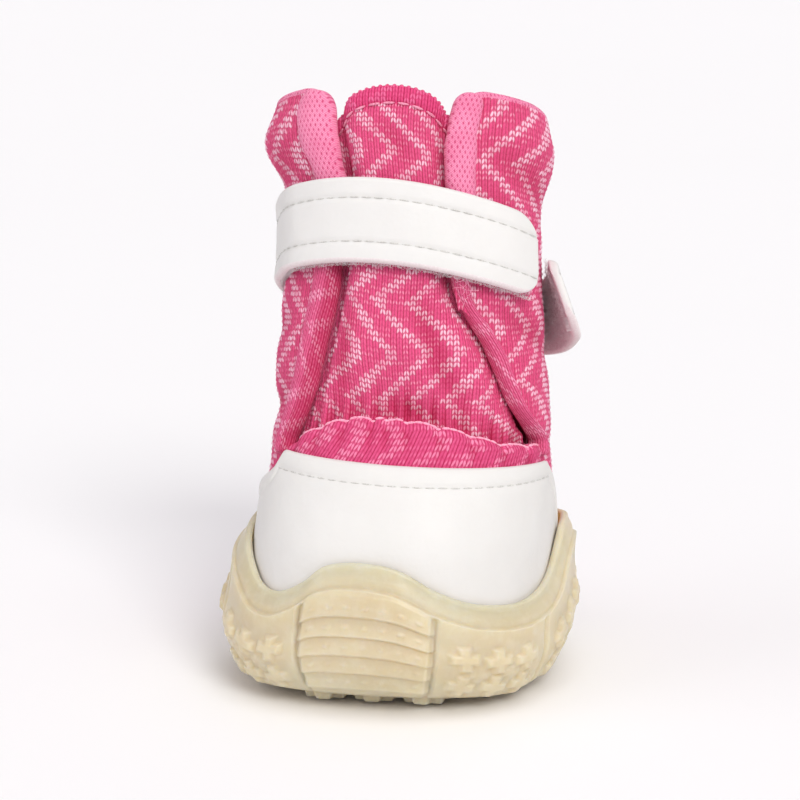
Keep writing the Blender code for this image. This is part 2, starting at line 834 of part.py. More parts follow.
def make_tread_lugs(mesh):
    for row in TREAD:
        for i in range(row.count):
            aside = (i - (row.count - 1) / 2) * row.spacing
            centre = Vector((aside, row.along * FOOT_LENGTH / 2, SOLE_CLEAR))
            centre.z += spring_at(centre)
            across = Vector((-1, 0, 0))
            upwards = Vector((0, 1, 0))
            root = (FLOOR_TOP - SOLE_CLEAR) / 2
            plus_lug(mesh, centre, across, upwards, TREAD_SIZE, TREAD_ARM, root, SOLE_CLEAR)


def make_outsole(folder, tools):
    look = material("gum_rubber", (0.80, 0.72, 0.47), 0.45)
    mesh = bmesh.new()
    loft(mesh, sole_rows(sole_bearings()), closed=True)
    sole = add_object("outsole", mesh, look, folder)
    lug_mesh = bmesh.new()
    make_side_lugs(lug_mesh)
    make_tread_lugs(lug_mesh)
    bmesh.ops.recalc_face_normals(lug_mesh, faces=lug_mesh.faces)
    lugs = add_object("lugs", lug_mesh, look, tools)
    lugs.hide_render = True
    lugs.display_type = "WIRE"
    union = sole.modifiers.new("lugs", "BOOLEAN")
    union.operation = "UNION"
    union.solver = "EXACT"
    union.object = lugs


def main():
    for old in list(bpy.data.objects):
        bpy.data.objects.remove(old)
    folder = bpy.data.collections.new("dog_boot")
    tools = bpy.data.collections.new("cutters")
    bpy.context.scene.collection.children.link(folder)
    bpy.context.scene.collection.children.link(tools)
    make_outsole(folder, tools)
    make_insole(folder)
    make_upper(folder)
    make_tongue(folder)
    make_toe_cap(folder)
    make_binding("binding_left", -1, folder)
    make_binding("binding_right", 1, folder)
    make_strap(folder)
    make_closure_tab(folder)


main()
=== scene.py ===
"""Looks of the dog boot: knitted upper and tongue, mesh bindings, leather cap and strap, gum sole.

Metres, +Z up, toe along -Y. A place on the boot is a level of the last's ring, a
bearing round it (0 at the toe, 90 at +X) and a distance out of the last.
"""

import math
from collections import namedtuple

import bmesh
import bpy
import numpy as np
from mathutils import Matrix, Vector


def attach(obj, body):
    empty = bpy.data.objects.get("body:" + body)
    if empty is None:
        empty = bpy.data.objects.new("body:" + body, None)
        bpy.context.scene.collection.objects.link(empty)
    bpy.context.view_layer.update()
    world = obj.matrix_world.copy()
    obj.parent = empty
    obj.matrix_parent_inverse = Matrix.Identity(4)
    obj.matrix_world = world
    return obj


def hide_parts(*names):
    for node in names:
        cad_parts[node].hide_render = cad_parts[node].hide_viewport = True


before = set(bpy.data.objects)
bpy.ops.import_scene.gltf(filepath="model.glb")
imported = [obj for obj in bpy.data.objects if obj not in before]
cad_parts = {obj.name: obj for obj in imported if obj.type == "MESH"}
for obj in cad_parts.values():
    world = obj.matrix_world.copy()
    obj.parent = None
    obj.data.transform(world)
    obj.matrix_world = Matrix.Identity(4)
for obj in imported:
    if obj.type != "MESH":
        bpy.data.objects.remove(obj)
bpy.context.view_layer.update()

MM = 0.001

# Sizes of the last and of the pieces, as in the solids
FOOT_LENGTH = 0.062
BALL_WIDTH = 0.0546
INSTEP_HEIGHT = 0.052
SHAFT_LENGTH = 0.050
SHAFT_SETBACK = 0.015
SHAFT_SWAY = 0.002
COLLAR_TILT = 21.0
COLLAR = INSTEP_HEIGHT + SHAFT_LENGTH
KNIT_WALL = 0.0024
TONGUE_WALL = 0.0022
CAP_WALL = 0.0012
CAP_SEAT = 0.00042
STRAP_WALL = 0.0018
GAP = 0.00036
TUCK_SLACK = 0.0004
CORNER_RADIUS = 0.0055
SEAM_LEVEL = 0.838 * INSTEP_HEIGHT
SEAM_RISE = 0.0047
CAP_TIP = 0.0008
CAP_REACH = 97.0
TONGUE_FOOT = 0.76 * INSTEP_HEIGHT
TONGUE_LAP = 10.0
TONGUE_MARGIN = 2.0
TONGUE_BULGE = 0.0008
TONGUE_SWELL = 0.014
TONGUE_PROUD = 0.0008
TONGUE_ROUND = 0.0042
BINDING_WIDTH = 0.0045
FLAP_WIDTH = 0.0062
STRAP_WIDTH = 0.0138
STRAP_HEIGHT = 0.0236
STRAP_RISE = 0.0046
STRAP_CANT = 0.0015
STRAP_END = 68.0
STRAP_OVER = 0.0024
STRAP_SNUG = 0.0006
SNUG_START_LEFT = 48.0
SNUG_START_RIGHT = 75.0
SNUG_SPAN = 26.0
END_RADIUS = 0.0050
TAB_END = 82.0
TAB_FLARE = 0.0064
FLOOR_TOP = 0.0055
SOLE_CLEAR = 0.0014
TOE_SPRING = 0.0015
SPRING_START = 0.58
ARCH_RISE = 0.0008
ARCH_SPAN = 0.25
RIM_HEIGHT = 0.0285
RIM_WALL = 0.0013
BAND_WIDTH = 0.0040
BAND_FLARE = 0.0011
STEP_DEPTH = 0.0008
SOLE_FLARE = 0.0053
GROOVES = (19.5, 61.0, 105.0, 160.5)
GROOVE_WIDTH = 0.0011
GROOVE_DEPTH = 0.0010
PAD_PROUD = 0.0004
SHINGLE_COUNT = 5
SHINGLE_DEPTH = 0.0008
LUG_SIZE = 0.0048
LUG_ARM = 0.0019
LUG_PROUD = 0.0008
TREAD_SIZE = 0.0072
TREAD_ARM = 0.0030
INSOLE_WALL = 0.0025

# Knit and mesh: a stitch's width and height, the cloth's mean radius, the pinholes' spacing
WALE = 0.00130
COURSE = 0.00096
KNIT_RADIUS = 0.0245
PINHOLE = 0.00082
MESH_STRETCH = 0.95
LOOP_SINK = 0.10 * MM

# Knit chart: a zigzag's reach and half period in stitches, then its strokes
ZIG_WALES = 8.7
ZIG_COURSES = 9.5
STROKE_PITCH = 5.64
STROKE_WIDTH = 0.37
VEE = 1.1

# Sizes of the softer forms that only the looks have
INNER_BEARING = 28.0
QUARTER_FOOT = 0.0165
LINING_FOOT = 0.0068
VAMP_FOOT = 0.036
VAMP_DROP = 0.8 * MM
VAMP_ROLL = 0.0013
VAMP_LEAN = 0.40
HEM = 0.0031
TONGUE_LEAN = 1.13
BINDING_FOOT = 0.0420
BINDING_DOME = 4 * MM
THIN_BINDING = 0.0018
MESH_START = 0.076
CAP_LOW = 0.0078
CAP_RADIUS = 0.028
CAP_STITCH = 0.0028
STRAP_STITCH = 0.0034
FELT_EDGE = 0.0006
CUP_EASE = 9.0
SOLE_RADIUS = 0.030
LIP_LEAN = 0.18 * MM
LIP_DROP = 0.14
PILE_FOOT = 0.55 * MM

# Bearings where the seam's thread gathers the cloth, and how far it swells between them
GATHERS = (-44.0, -33.0, -21.0, -8.0, -1.0, 8.0, 22.0, 36.0, 50.0, 66.0, 80.0)
GATHER_RISE = 0.75 * MM


def table(kind, rows):
    return tuple(kind(*row) for row in rows)


Ring = namedtuple("Ring", "height setback sway tilt half_width fore aft square")
LAST = table(Ring, (
    (0.112, 0.000, 0.00, 0.000, 0.482, 0.473, 0.476, 2.50),
    (0.231, 0.000, 0.12, 0.000, 0.497, 0.498, 0.498, 2.50),
    (0.423, 0.000, 0.45, 0.000, 0.482, 0.504, 0.500, 2.40),
    (0.577, 0.000, 0.85, 0.048, 0.476, 0.497, 0.476, 2.35),
    (0.731, 0.033, 1.00, 0.143, 0.469, 0.452, 0.444, 2.30),
    (0.865, 0.067, 1.05, 0.286, 0.460, 0.387, 0.419, 2.25),
    (1.000, 0.167, 1.00, 0.429, 0.458, 0.347, 0.387, 2.20),
    (1.192, 0.300, 0.65, 0.571, 0.450, 0.319, 0.355, 2.15),
    (1.462, 0.500, 0.65, 0.714, 0.430, 0.306, 0.331, 2.10),
    (1.692, 0.707, 0.25, 0.843, 0.436, 0.303, 0.321, 2.10),
    (1.865, 0.867, -0.35, 0.929, 0.490, 0.306, 0.316, 2.15),
    (2.000, 1.000, -0.30, 1.000, 0.462, 0.313, 0.315, 2.20),
))

Throat = namedtuple("Throat", "height left right")
THROAT = table(Throat, (
    (0.865, 50.0, 79.0), (0.981, 45.0, 61.0), (1.173, 38.5, 50.0), (1.365, 35.0, 33.5),
    (1.692, 31.5, 30.0), (1.846, 33.0, 31.0), (2.000, 35.5, 34.0),
))

Seam = namedtuple("Seam", "across rise")
SEAM = table(Seam, (
    (0.00, 0.00), (0.08, 0.42), (0.22, 0.94), (0.38, 1.00), (0.52, 0.89), (0.64, 0.64),
    (0.77, 0.27), (1.00, 0.00),
))

Side = namedtuple("Side", "height left right")
CAP_SIDES = table(Side, (
    (0.385, 97.0, 97.0), (0.577, 94.0, 95.0), (0.640, 80.0, 92.0), (0.710, 63.0, 88.0),
    (0.765, 50.0, 83.0), (0.817, 46.0, 76.0),
))

Rim = namedtuple("Rim", "bearing share")
RIM = table(Rim, (
    (-180.0, 1.000), (-140.0, 0.960), (-100.0, 1.010), (-78.0, 0.990), (-62.0, 0.940),
    (-50.0, 0.855), (-40.0, 0.765), (-31.0, 0.755), (-22.0, 0.840), (-15.0, 0.955), (-5.0, 0.990),
    (8.0, 0.957), (20.0, 0.830), (32.0, 0.735), (48.0, 0.682), (60.0, 0.695), (73.0, 0.765),
    (97.0, 1.020), (140.0, 0.980), (180.0, 1.000),
))

Wall = namedtuple("Wall", "rise flare")
WALL = table(Wall, (
    (0.00, -0.10), (0.06, 0.36), (0.17, 0.68), (0.34, 0.90), (0.55, 1.00), (0.76, 0.95),
))

Tab = namedtuple("Tab", "bearing drop lower upper")
TAB = table(Tab, (
    (82.0, 0.186, 1.00, 0.22), (95.0, 0.263, 0.80, 0.18), (110.0, 0.352, 0.50, 0.13),
    (130.0, 0.370, 0.20, 0.10), (165.0, 0.237, 0.10, 0.10), (180.0, 0.195, 0.10, 0.10),
))

LUG_BEARINGS = (29.0, 40.0, 51.0, 72.0, 83.0, 94.0, 124.0, 142.0)
LUG_LEVELS = (0.22, 0.60)
SMALL_LUGS = ((34.5, 0.41), (45.5, 0.41), (56.0, 0.42), (66.5, 0.41), (77.5, 0.41),
              (88.5, 0.41), (99.5, 0.42), (115.0, 0.41), (133.0, 0.41), (151.0, 0.41))
SMALL_LUG_SIZE = 2.9 * MM
SMALL_LUG_ARM = 1.2 * MM
SMALL_LUG_PROUD = 0.22 * MM
SMALL_TREAD_PITCH = 6.4 * MM
SMALL_TREAD_SIZE = 3.4 * MM
SMALL_TREAD_ARM = 1.3 * MM
SMALL_TREAD_PROUD = 0.75 * MM

Tread = namedtuple("Tread", "along count spacing")
TREAD = table(Tread, (
    (-0.76, 3, 0.0090), (-0.45, 3, 0.0150), (0.50, 3, 0.0150), (0.78, 3, 0.0090),
))

# Soft creases in the knit: from one bearing and level (mm) to
# another, with the trough's depth and half width in mm
Crease = namedtuple("Crease", "bearing level to_bearing to_level depth width")
TONGUE_CREASES = table(Crease, (
    (12, 68, 34, 50, 0.7, 2.6), (-22, 66, -30, 50, 0.6, 2.2), (-4, 96, 10, 91, 0.4, 2.6),
    (0, 51, 24, 49, 0.5, 1.8),
))
QUARTER_CREASES = table(Crease, (
    (60, 66, 100, 60, 0.6, 2.6), (70, 44, 104, 42, 0.7, 2.4), (118, 46, 168, 50, 0.8, 2.8),
    (-58, 52, -98, 46, 0.7, 2.4), (-66, 64, -112, 60, 0.6, 2.8), (-122, 44, -165, 48, 0.8, 2.8),
    (-150, 60, -179, 62, 0.6, 2.6), (140, 84, 175, 80, 0.5, 3.0), (-60, 92, -100, 88, 0.5, 3.0),
    (52, 93, 96, 86, 0.5, 3.0),
))


def column_of(rows, name):
    return [getattr(row, name) for row in rows]


def smooth_read(places, values, at):
    """The value at a place on a smooth curve through the points, level past its ends."""
    if at <= places[0]:
        return values[0]
    if at >= places[-1]:
        return values[-1]
    i = max(k for k in range(len(places) - 1) if places[k] <= at)
    span = places[i + 1] - places[i]
    chord = (values[i + 1] - values[i]) / span

    def slope(k):
        if k == 0 or k == len(places) - 1:
            return chord
        rise = values[k + 1] - values[k - 1]
        return rise / (places[k + 1] - places[k - 1])

    t = (at - places[i]) / span
    near = (1 + 2 * t) * (1 - t) ** 2 * values[i] + t * (1 - t) ** 2 * span * slope(i)
    far = t * t * (3 - 2 * t) * values[i + 1] - t * t * (1 - t) * span * slope(i + 1)
    return near + far


class Reader:
    """A table's smooth curve, sampled finely once so that arrays can be read from it."""

    def __init__(self, places, values, scale=1.0):
        self.places = np.linspace(places[0], places[-1], 1200)
        self.values = np.array([smooth_read(places, values, p) for p in self.places])
        self.values *= scale

    def __call__(self, at):
        return np.interp(at, self.places, self.values)


def level_of(share):
    return min(share, 1.0) * INSTEP_HEIGHT + max(share - 1.0, 0.0) * SHAFT_LENGTH


def by_level(rows, name, scale=1.0):
    """A column read by level; the rows' heights are shares: 1 at the instep, 2 at the collar."""
    levels = [level_of(height) for height in column_of(rows, "height")]
    return Reader(levels, column_of(rows, name), scale)


SETBACK = by_level(LAST, "setback", SHAFT_SETBACK)
SWAY = by_level(LAST, "sway", SHAFT_SWAY)
TILT = by_level(LAST, "tilt", math.radians(COLLAR_TILT))
HALF_WIDTH = by_level(LAST, "half_width", BALL_WIDTH)
FORE = by_level(LAST, "fore", FOOT_LENGTH)
AFT = by_level(LAST, "aft", FOOT_LENGTH)
SQUARE = by_level(LAST, "square")
THROAT_LEFT = by_level(THROAT, "left", -1.0)
THROAT_RIGHT = by_level(THROAT, "right")
SEAM_SHAPE = Reader(column_of(SEAM, "across"), column_of(SEAM, "rise"))
CAP_LEFT = Reader(column_of(CAP_SIDES, "left")[::-1], column_of(CAP_SIDES, "height")[::-1])
CAP_RIGHT = Reader(column_of(CAP_SIDES, "right")[::-1], column_of(CAP_SIDES, "height")[::-1])
RIM_SHARE = Reader(column_of(RIM, "bearing"), column_of(RIM, "share"), RIM_HEIGHT)
TAB_DROP = Reader(column_of(TAB, "bearing"), column_of(TAB, "drop"), STRAP_HEIGHT)
TAB_LOWER = Reader(column_of(TAB, "bearing"), column_of(TAB, "lower"), TAB_FLARE)
TAB_UPPER = Reader(column_of(TAB, "bearing"), column_of(TAB, "upper"), TAB_FLARE)


def ease(t):
    t = np.clip(t, 0.0, 1.0)
    return t * t * (3 - 2 * t)


def blend(a, b, t):
    return a + (b - a) * t


def crossed(rows, columns):
    """Two grids, one of the rows' values and one of the columns'."""
    return np.meshgrid(rows, columns, indexing="ij")


def turned_to(bearing):
    """A bearing brought between -180 and 180."""
    return (np.asarray(bearing) + 180) % 360 - 180


def ring_radius(level, bearing):
    """The last's radius in a direction: a squarish oval with its own reach ahead and behind."""
    turn = np.radians(bearing)
    reach = np.where(np.cos(turn) > 0, FORE(level), AFT(level))
    side = np.abs(np.sin(turn)) / HALF_WIDTH(level)
    along = np.abs(np.cos(turn)) / reach
    power = SQUARE(level)
    return (side**power + along**power) ** (-1 / power)


def place(level, bearing, out=0.0, share=1.0):
    """Points at levels and bearings, out of the last, at a share of the way."""
    level, bearing, out, share = np.broadcast_arrays(level, bearing, out, share)
    turn = np.radians(bearing)
    radius = (ring_radius(level, bearing) + out) * share
    ahead = radius * np.cos(turn)
    tilt = TILT(level)
    x = SWAY(level) + radius * np.sin(turn)
    y = SETBACK(level) - ahead * np.cos(tilt)
    return np.stack((x, y, level + ahead * np.sin(tilt)), axis=-1)


def throat_at(level):
    """The bearings of the throat's left and right edge at a level."""
    return float(THROAT_LEFT(level)), float(THROAT_RIGHT(level))


def throat_edge(level, side):
    return THROAT_RIGHT(level) if side > 0 else THROAT_LEFT(level)


def past_throat(bearing, level, side):
    """Bearings held back to the throat's edge on one side."""
    edge = throat_edge(level, side)
    return np.maximum(bearing, edge) if side > 0 else np.minimum(bearing, edge)


def seam_level(bearing):
    left, right = throat_at(SEAM_LEVEL)
    return SEAM_LEVEL + SEAM_RISE * SEAM_SHAPE((bearing - left) / (right - left))


def collar_level(bearing):
    """The upper's top edge, rounded at the throat's corners."""
    turned = turned_to(bearing)
    left, right = throat_at(COLLAR)
    inside = np.where(turned > 0, turned - right, left - turned)
    from_edge = np.radians(inside) * float(ring_radius(COLLAR, right))
    short = np.clip(CORNER_RADIUS - from_edge, 0.0, CORNER_RADIUS)
    return COLLAR - CORNER_RADIUS + np.sqrt(np.maximum(CORNER_RADIUS**2 - short**2, 0))


def cap_top(bearing):
    """The cap's top edge, lower towards its two sides and a little aslant."""
    right = level_of(1.0) * CAP_RIGHT(np.abs(bearing))
    left = level_of(1.0) * CAP_LEFT(np.abs(bearing))
    slant = np.where(bearing < 0, bearing / CAP_SIDES[-1].left, bearing / CAP_SIDES[-1].right)
    return np.where(bearing < 0, left, right) - CAP_TIP * np.clip(slant, -1, 1)


def creased(level, bearing, creases):
    """How far soft creases push the cloth out or in: a trough with a low swell beside it."""
    out = np.zeros(np.broadcast(level, bearing).shape)
    x = np.radians(bearing) * KNIT_RADIUS / MM
    y = np.asarray(level) / MM
    for row in creases:
        ax, ay = math.radians(row.bearing) * KNIT_RADIUS / MM, row.level
        bx, by = math.radians(row.to_bearing) * KNIT_RADIUS / MM, row.to_level
        dx, dy = bx - ax, by - ay
        length = math.hypot(dx, dy)
        t = np.clip(((x - ax) * dx + (y - ay) * dy) / length**2, 0, 1)
        away = np.hypot(x - ax - t * dx, y - ay - t * dy) / row.width
        fade = 0.35 + 0.65 * np.sin(math.pi * np.clip(t, 0.02, 0.98))
        trough = np.exp(-away * away) - 0.45 * np.exp(-((away - 1.9) ** 2))
        out -= row.depth * MM * fade * trough
    return out


def chart(u, v):
    """1 where a stitch is light: strokes that zigzag up the cloth, by wale u and course v."""
    wale = np.floor(u)
    across = np.abs(u - wale - 0.5)
    course = np.floor(v + VEE * across)
    turn = course / (2 * ZIG_COURSES)
    zig = 2 * np.abs(turn - np.floor(turn) - 0.5)
    stroke = (wale + ZIG_WALES * zig) / STROKE_PITCH
    return (stroke - np.floor(stroke) < STROKE_WIDTH).astype(float)


def course_of(level, u, lean=1.0):
    """The course at a level, with the cloth's own slow waves."""
    v = level * lean / COURSE
    slow = 0.9 * np.sin(0.13 * u + 1.0) + 0.3 * np.sin(0.21 * v)
    return v + slow + 0.45 * np.sin(0.31 * u - 0.07 * v)


def knit_relief(u, v, height=1.0):
    """How high the jersey's loops stand: two slanted lobes to a stitch, a groove beside them."""
    across = np.abs(u - np.floor(u) - 0.5)
    leg = np.clip(1 - ((across - 0.25) / 0.25) ** 2, 0, 1)
    leg = np.maximum(leg, 0.6 * np.clip(1 - across / 0.16, 0, 1))
    vee = v + VEE * across
    lobe = 0.5 - 0.5 * np.cos(2 * math.pi * (vee - np.floor(vee)))
    light = chart(u, v)
    return height * MM * (0.26 * leg * (0.62 + 0.38 * lobe) + light * 0.14 * leg * lobe)


def mesh_relief(x, y):
    """The lining mesh's staggered pinholes and fine ribs, x and y in pinhole spacings."""
    row = np.floor(y)
    fx = x + 0.5 * (row % 2)
    dx = (fx - np.floor(fx) - 0.5) / 0.17
    dy = (y - row - 0.5) / 0.33
    ribs = 0.035 * np.cos(2 * math.pi * (x * 2)) + 0.03 * np.cos(2 * math.pi * y * 2)
    return MM * (ribs - 0.14 * np.exp(-(dx * dx + dy * dy)))


def added(name, data):
    made = bpy.data.objects.new(name, data)
    bpy.context.scene.collection.objects.link(made)
    return made


def plain_mesh(name, points, edges=(), faces=()):
    data = bpy.data.meshes.new(name)
    data.from_pydata([tuple(p) for p in points.reshape(-1, 3)], edges, faces)
    return data


def dress(piece, node=None):
    """Ties a finished piece to the boot's one body and hides the solid it stands for."""
    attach(piece, "root")
    if node:
        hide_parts(node)
    return piece


class Patch:
    """Collects grids of points into one mesh, with texture places and material slots."""

    def __init__(self):
        self.points, self.faces, self.uvs, self.slots, self.count = [], [], [], [], 0
        self.painted_shade_shares = []

    def grid(self, points, uv, slot=0, flip=False, depth=0.0):
        rows, columns = points.shape[:2]
        index = np.arange(rows * columns).reshape(rows, columns) + self.count
        quads = np.stack((index[:-1, :-1], index[:-1, 1:], index[1:, 1:], index[1:, :-1]), -1)
        quads = quads.reshape(-1, 4)
        if flip:
            quads = quads[:, ::-1]
        self.points.append(points.reshape(-1, 3))
        self.uvs.append(np.broadcast_to(uv, (rows, columns, 2)).reshape(-1, 2))
        self.faces.append(quads)
        self.slots.append(np.full(len(quads), slot))
        # A grid's depth is painted shade, not relief: how far each point's knit colour is darkened
        self.painted_shade_shares.append(np.broadcast_to(depth, (rows, columns)).reshape(-1))
        self.count += rows * columns

    def build(self, name, materials, merge=2e-6):
        points = np.concatenate(self.points)
        faces = np.concatenate(self.faces)
        uvs = np.concatenate(self.uvs)
        slots = np.concatenate(self.slots)
        data = bpy.data.meshes.new(name)
        data.vertices.add(len(points))
        data.vertices.foreach_set("co", points.astype(np.float32).ravel())
        data.loops.add(faces.size)
        data.loops.foreach_set("vertex_index", faces.astype(np.int32).ravel())
        data.polygons.add(len(faces))
        data.polygons.foreach_set("loop_start", np.arange(0, faces.size, 4, dtype=np.int32))
        data.polygons.foreach_set("material_index", slots.astype(np.int32))
        layer = data.uv_layers.new(name="cloth")
        layer.data.foreach_set("uv", uvs[faces.ravel()].astype(np.float32).ravel())
        data.update(calc_edges=True)
        data.validate()
        # The painted shade goes into the mesh as a point attribute that the knit colour reads
        shaded = data.attributes.new("painted_shade", "FLOAT", "POINT")
        shaded.data.foreach_set("value", np.concatenate(self.painted_shade_shares).astype(np.float32))
        mesh = bmesh.new()
        mesh.from_mesh(data)
        bmesh.ops.remove_doubles(mesh, verts=mesh.verts, dist=merge)
        bmesh.ops.dissolve_degenerate(mesh, edges=mesh.edges, dist=merge)
        mesh.to_mesh(data)
        mesh.free()
        data.shade_smooth()
        for look in materials:
            data.materials.append(look)
        return added(name, data)


def rounded(near, radius):
    """Share of the full thickness at a distance from an edge, for a rounded edge."""
    short = np.clip(1 - near / radius, 0, 1)
    return np.sqrt(np.maximum(1 - short * short, 0))


def even(first, last, step):
    """Steps from first to last, each at most the length given."""
    return np.linspace(first, last, max(2, int(math.ceil(abs(last - first) / step)) + 1))


# Materials


class Nodes:
    """A material's shader nodes, with short calls to add, join and reckon with them."""

    def __init__(self, name):
        self.material = bpy.data.materials.new(name)
        self.material.use_nodes = True
        self.tree = self.material.node_tree
        self.shader = self.tree.nodes["Principled BSDF"]

    def add(self, kind, **settings):
        node = self.tree.nodes.new(kind)
        for key, value in settings.items():
            setattr(node, key, value)
        return node

    def join(self, source, target):
        self.tree.links.new(source, target)

    def feed(self, socket, value):
        if isinstance(value, bpy.types.NodeSocket):
            self.join(value, socket)
        else:
            socket.default_value = value

    def where(self):
        return self.add("ShaderNodeTexCoord").outputs["Object"]

    def split(self, vector):
        """The separate axes of a vector."""
        node = self.add("ShaderNodeSeparateXYZ")
        self.join(vector, node.inputs[0])
        return node.outputs

    def cloth(self):
        """The cloth's own two coordinates, in stitches or pinholes."""
        return self.split(self.add("ShaderNodeUVMap", uv_map="cloth").outputs["UV"])[:2]

    def math(self, operation, a, b=0.0, c=0.0):
        node = self.add("ShaderNodeMath", operation=operation)
        for socket, value in zip(node.inputs, (a, b, c)):
            self.feed(socket, value)
        return node.outputs[0]

    def scaled_sum(self, a, b, c):
        return self.math("MULTIPLY_ADD", a, b, c)

    def times(self, a, b):
        return self.math("MULTIPLY", a, b)

    def plus(self, a, b):
        return self.math("ADD", a, b)

    def minus(self, a, b):
        return self.math("SUBTRACT", a, b)

    def over(self, a, b):
        return self.math("DIVIDE", a, b)

    def floor(self, a):
        return self.math("FLOOR", a)

    def fraction(self, a):
        return self.math("FRACT", a)

    def size(self, a):
        return self.math("ABSOLUTE", a)

    def mix(self, factor, a, b):
        node = self.add("ShaderNodeMix", data_type="RGBA", blend_type="MIX")
        self.feed(node.inputs["Factor"], factor)
        for socket, value in ((node.inputs[6], a), (node.inputs[7], b)):
            if isinstance(value, tuple):
                value = (*value, 1.0)
            self.feed(socket, value)
        return node.outputs[2]

    def noise(self, vector, scale, detail=3.0, roughness=0.55):
        node = self.add("ShaderNodeTexNoise")
        self.join(vector, node.inputs["Vector"])
        node.inputs["Scale"].default_value = scale
        node.inputs["Detail"].default_value = detail
        node.inputs["Roughness"].default_value = roughness
        return node.outputs["Fac"]

    def spread(self, value, low, high, to_low=0.0, to_high=1.0):
        node = self.add("ShaderNodeMapRange")
        self.feed(node.inputs[0], value)
        for socket, number in zip(node.inputs[1:5], (low, high, to_low, to_high)):
            socket.default_value = number
        return node.outputs[0]

    def bump(self, height, strength, distance, normal=None):
        node = self.add("ShaderNodeBump")
        node.inputs["Strength"].default_value = strength
        node.inputs["Distance"].default_value = distance
        self.join(height, node.inputs["Height"])
        if normal is not None:
            self.join(normal, node.inputs["Normal"])
        return node.outputs["Normal"]

    def finish(self, colour, roughness, normal=None, **fixed):
        self.feed(self.shader.inputs["Base Color"], colour)
        self.feed(self.shader.inputs["Roughness"], roughness)
        if normal is not None:
            self.join(normal, self.shader.inputs["Normal"])
        for name, value in fixed.items():
            self.shader.inputs[name.replace("_", " ")].default_value = value
        return self.material


def stitch_places(n):
    """Wale, place across it, course and place along it, from the cloth's own coordinates."""
    u, v = n.cloth()
    wale = n.floor(u)
    across = n.size(n.minus(n.fraction(u), 0.5))
    vee = n.scaled_sum(across, VEE, v)
    return wale, across, n.floor(vee), n.fraction(vee)


def knit(name, deep, base, light):
    """Two-colour jersey: dark pink loops, and light ones where the chart says, with painted shade
    in the gaps between loops and in marked creases.
    """
    n = Nodes(name)
    wale, across, course, along = stitch_places(n)
    turn = n.fraction(n.over(course, 2 * ZIG_COURSES))
    zig = n.size(n.minus(turn, 0.5))
    stroke = n.scaled_sum(zig, 2 * ZIG_WALES, wale)
    inside = n.fraction(n.over(stroke, STROKE_PITCH))
    mask = n.math("LESS_THAN", inside, STROKE_WIDTH)
    cell = n.add("ShaderNodeCombineXYZ")
    n.join(wale, cell.inputs[0])
    n.join(course, cell.inputs[1])
    random = n.add("ShaderNodeTexWhiteNoise", noise_dimensions="2D")
    n.join(cell.outputs[0], random.inputs["Vector"])
    chance = random.outputs["Value"]
    lobe = n.math("SINE", n.times(along, math.pi))
    offset = n.over(n.minus(across, 0.25), 0.24)
    leg = n.minus(1.0, n.times(offset, offset))
    rib = n.math("MAXIMUM", n.spread(leg, 0.12, 0.85), n.spread(across, 0.0, 0.16, 0.45, 0.0))
    body = n.times(rib, n.spread(lobe, 0.10, 0.80, 0.62, 1.0))
    high = n.over(n.minus(along, 0.5), 0.38)
    aside = n.over(n.minus(across, 0.25), 0.20)
    dot = n.minus(n.minus(1.0, n.times(aside, aside)), n.times(high, high))
    where = n.where()
    patchy = n.noise(where, 160.0, 3.0)
    fine = n.noise(where, 5200.0, 4.0, 0.7)
    # Painted shade: the gaps between the loops take the deep pink, darkest where the relief is low
    loop = n.mix(n.spread(body, 0.0, 0.8), deep, base)
    speck = n.times(n.spread(chance, 0.40, 1.0, 0.0, 0.55), n.spread(dot, 0.35, 0.95))
    loop = n.mix(speck, loop, light)
    bright = n.times(mask, n.spread(dot, -0.10, 0.35, 0.12, 1.0))
    bright = n.times(bright, n.spread(chance, 0.0, 1.0, 0.80, 1.0))
    faded = n.spread(n.noise(where, 420.0, 2.0), 0.38, 0.58, 0.62, 1.0)
    bright = n.times(bright, faded)
    colour = n.mix(bright, loop, light)
    colour = n.mix(n.spread(patchy, 0.3, 0.7, 0.0, 0.14), colour, deep)
    colour = n.mix(n.spread(fine, 0.35, 0.75, 0.0, 0.12), colour, light)
    # Painted shade: a dark red mixed in by the mesh's painted-shade attribute, stronger in the
    # gaps between loops
    painted_shade = n.add("ShaderNodeAttribute", attribute_name="painted_shade").outputs["Fac"]
    shadow = n.times(painted_shade, n.spread(body, 0.2, 1.0, 0.95, 0.55))
    colour = n.mix(shadow, colour, PAINTED_SHADE_PINK)
    height = n.scaled_sum(fine, 0.35, body)
    normal = n.bump(height, 0.55, 0.00022)
    return n.finish(colour, 0.80, normal, Sheen_Weight=0.08, Sheen_Roughness=0.5,
                    Sheen_Tint=(1.0, 0.55, 0.70, 1.0), Specular_IOR_Level=0.18)


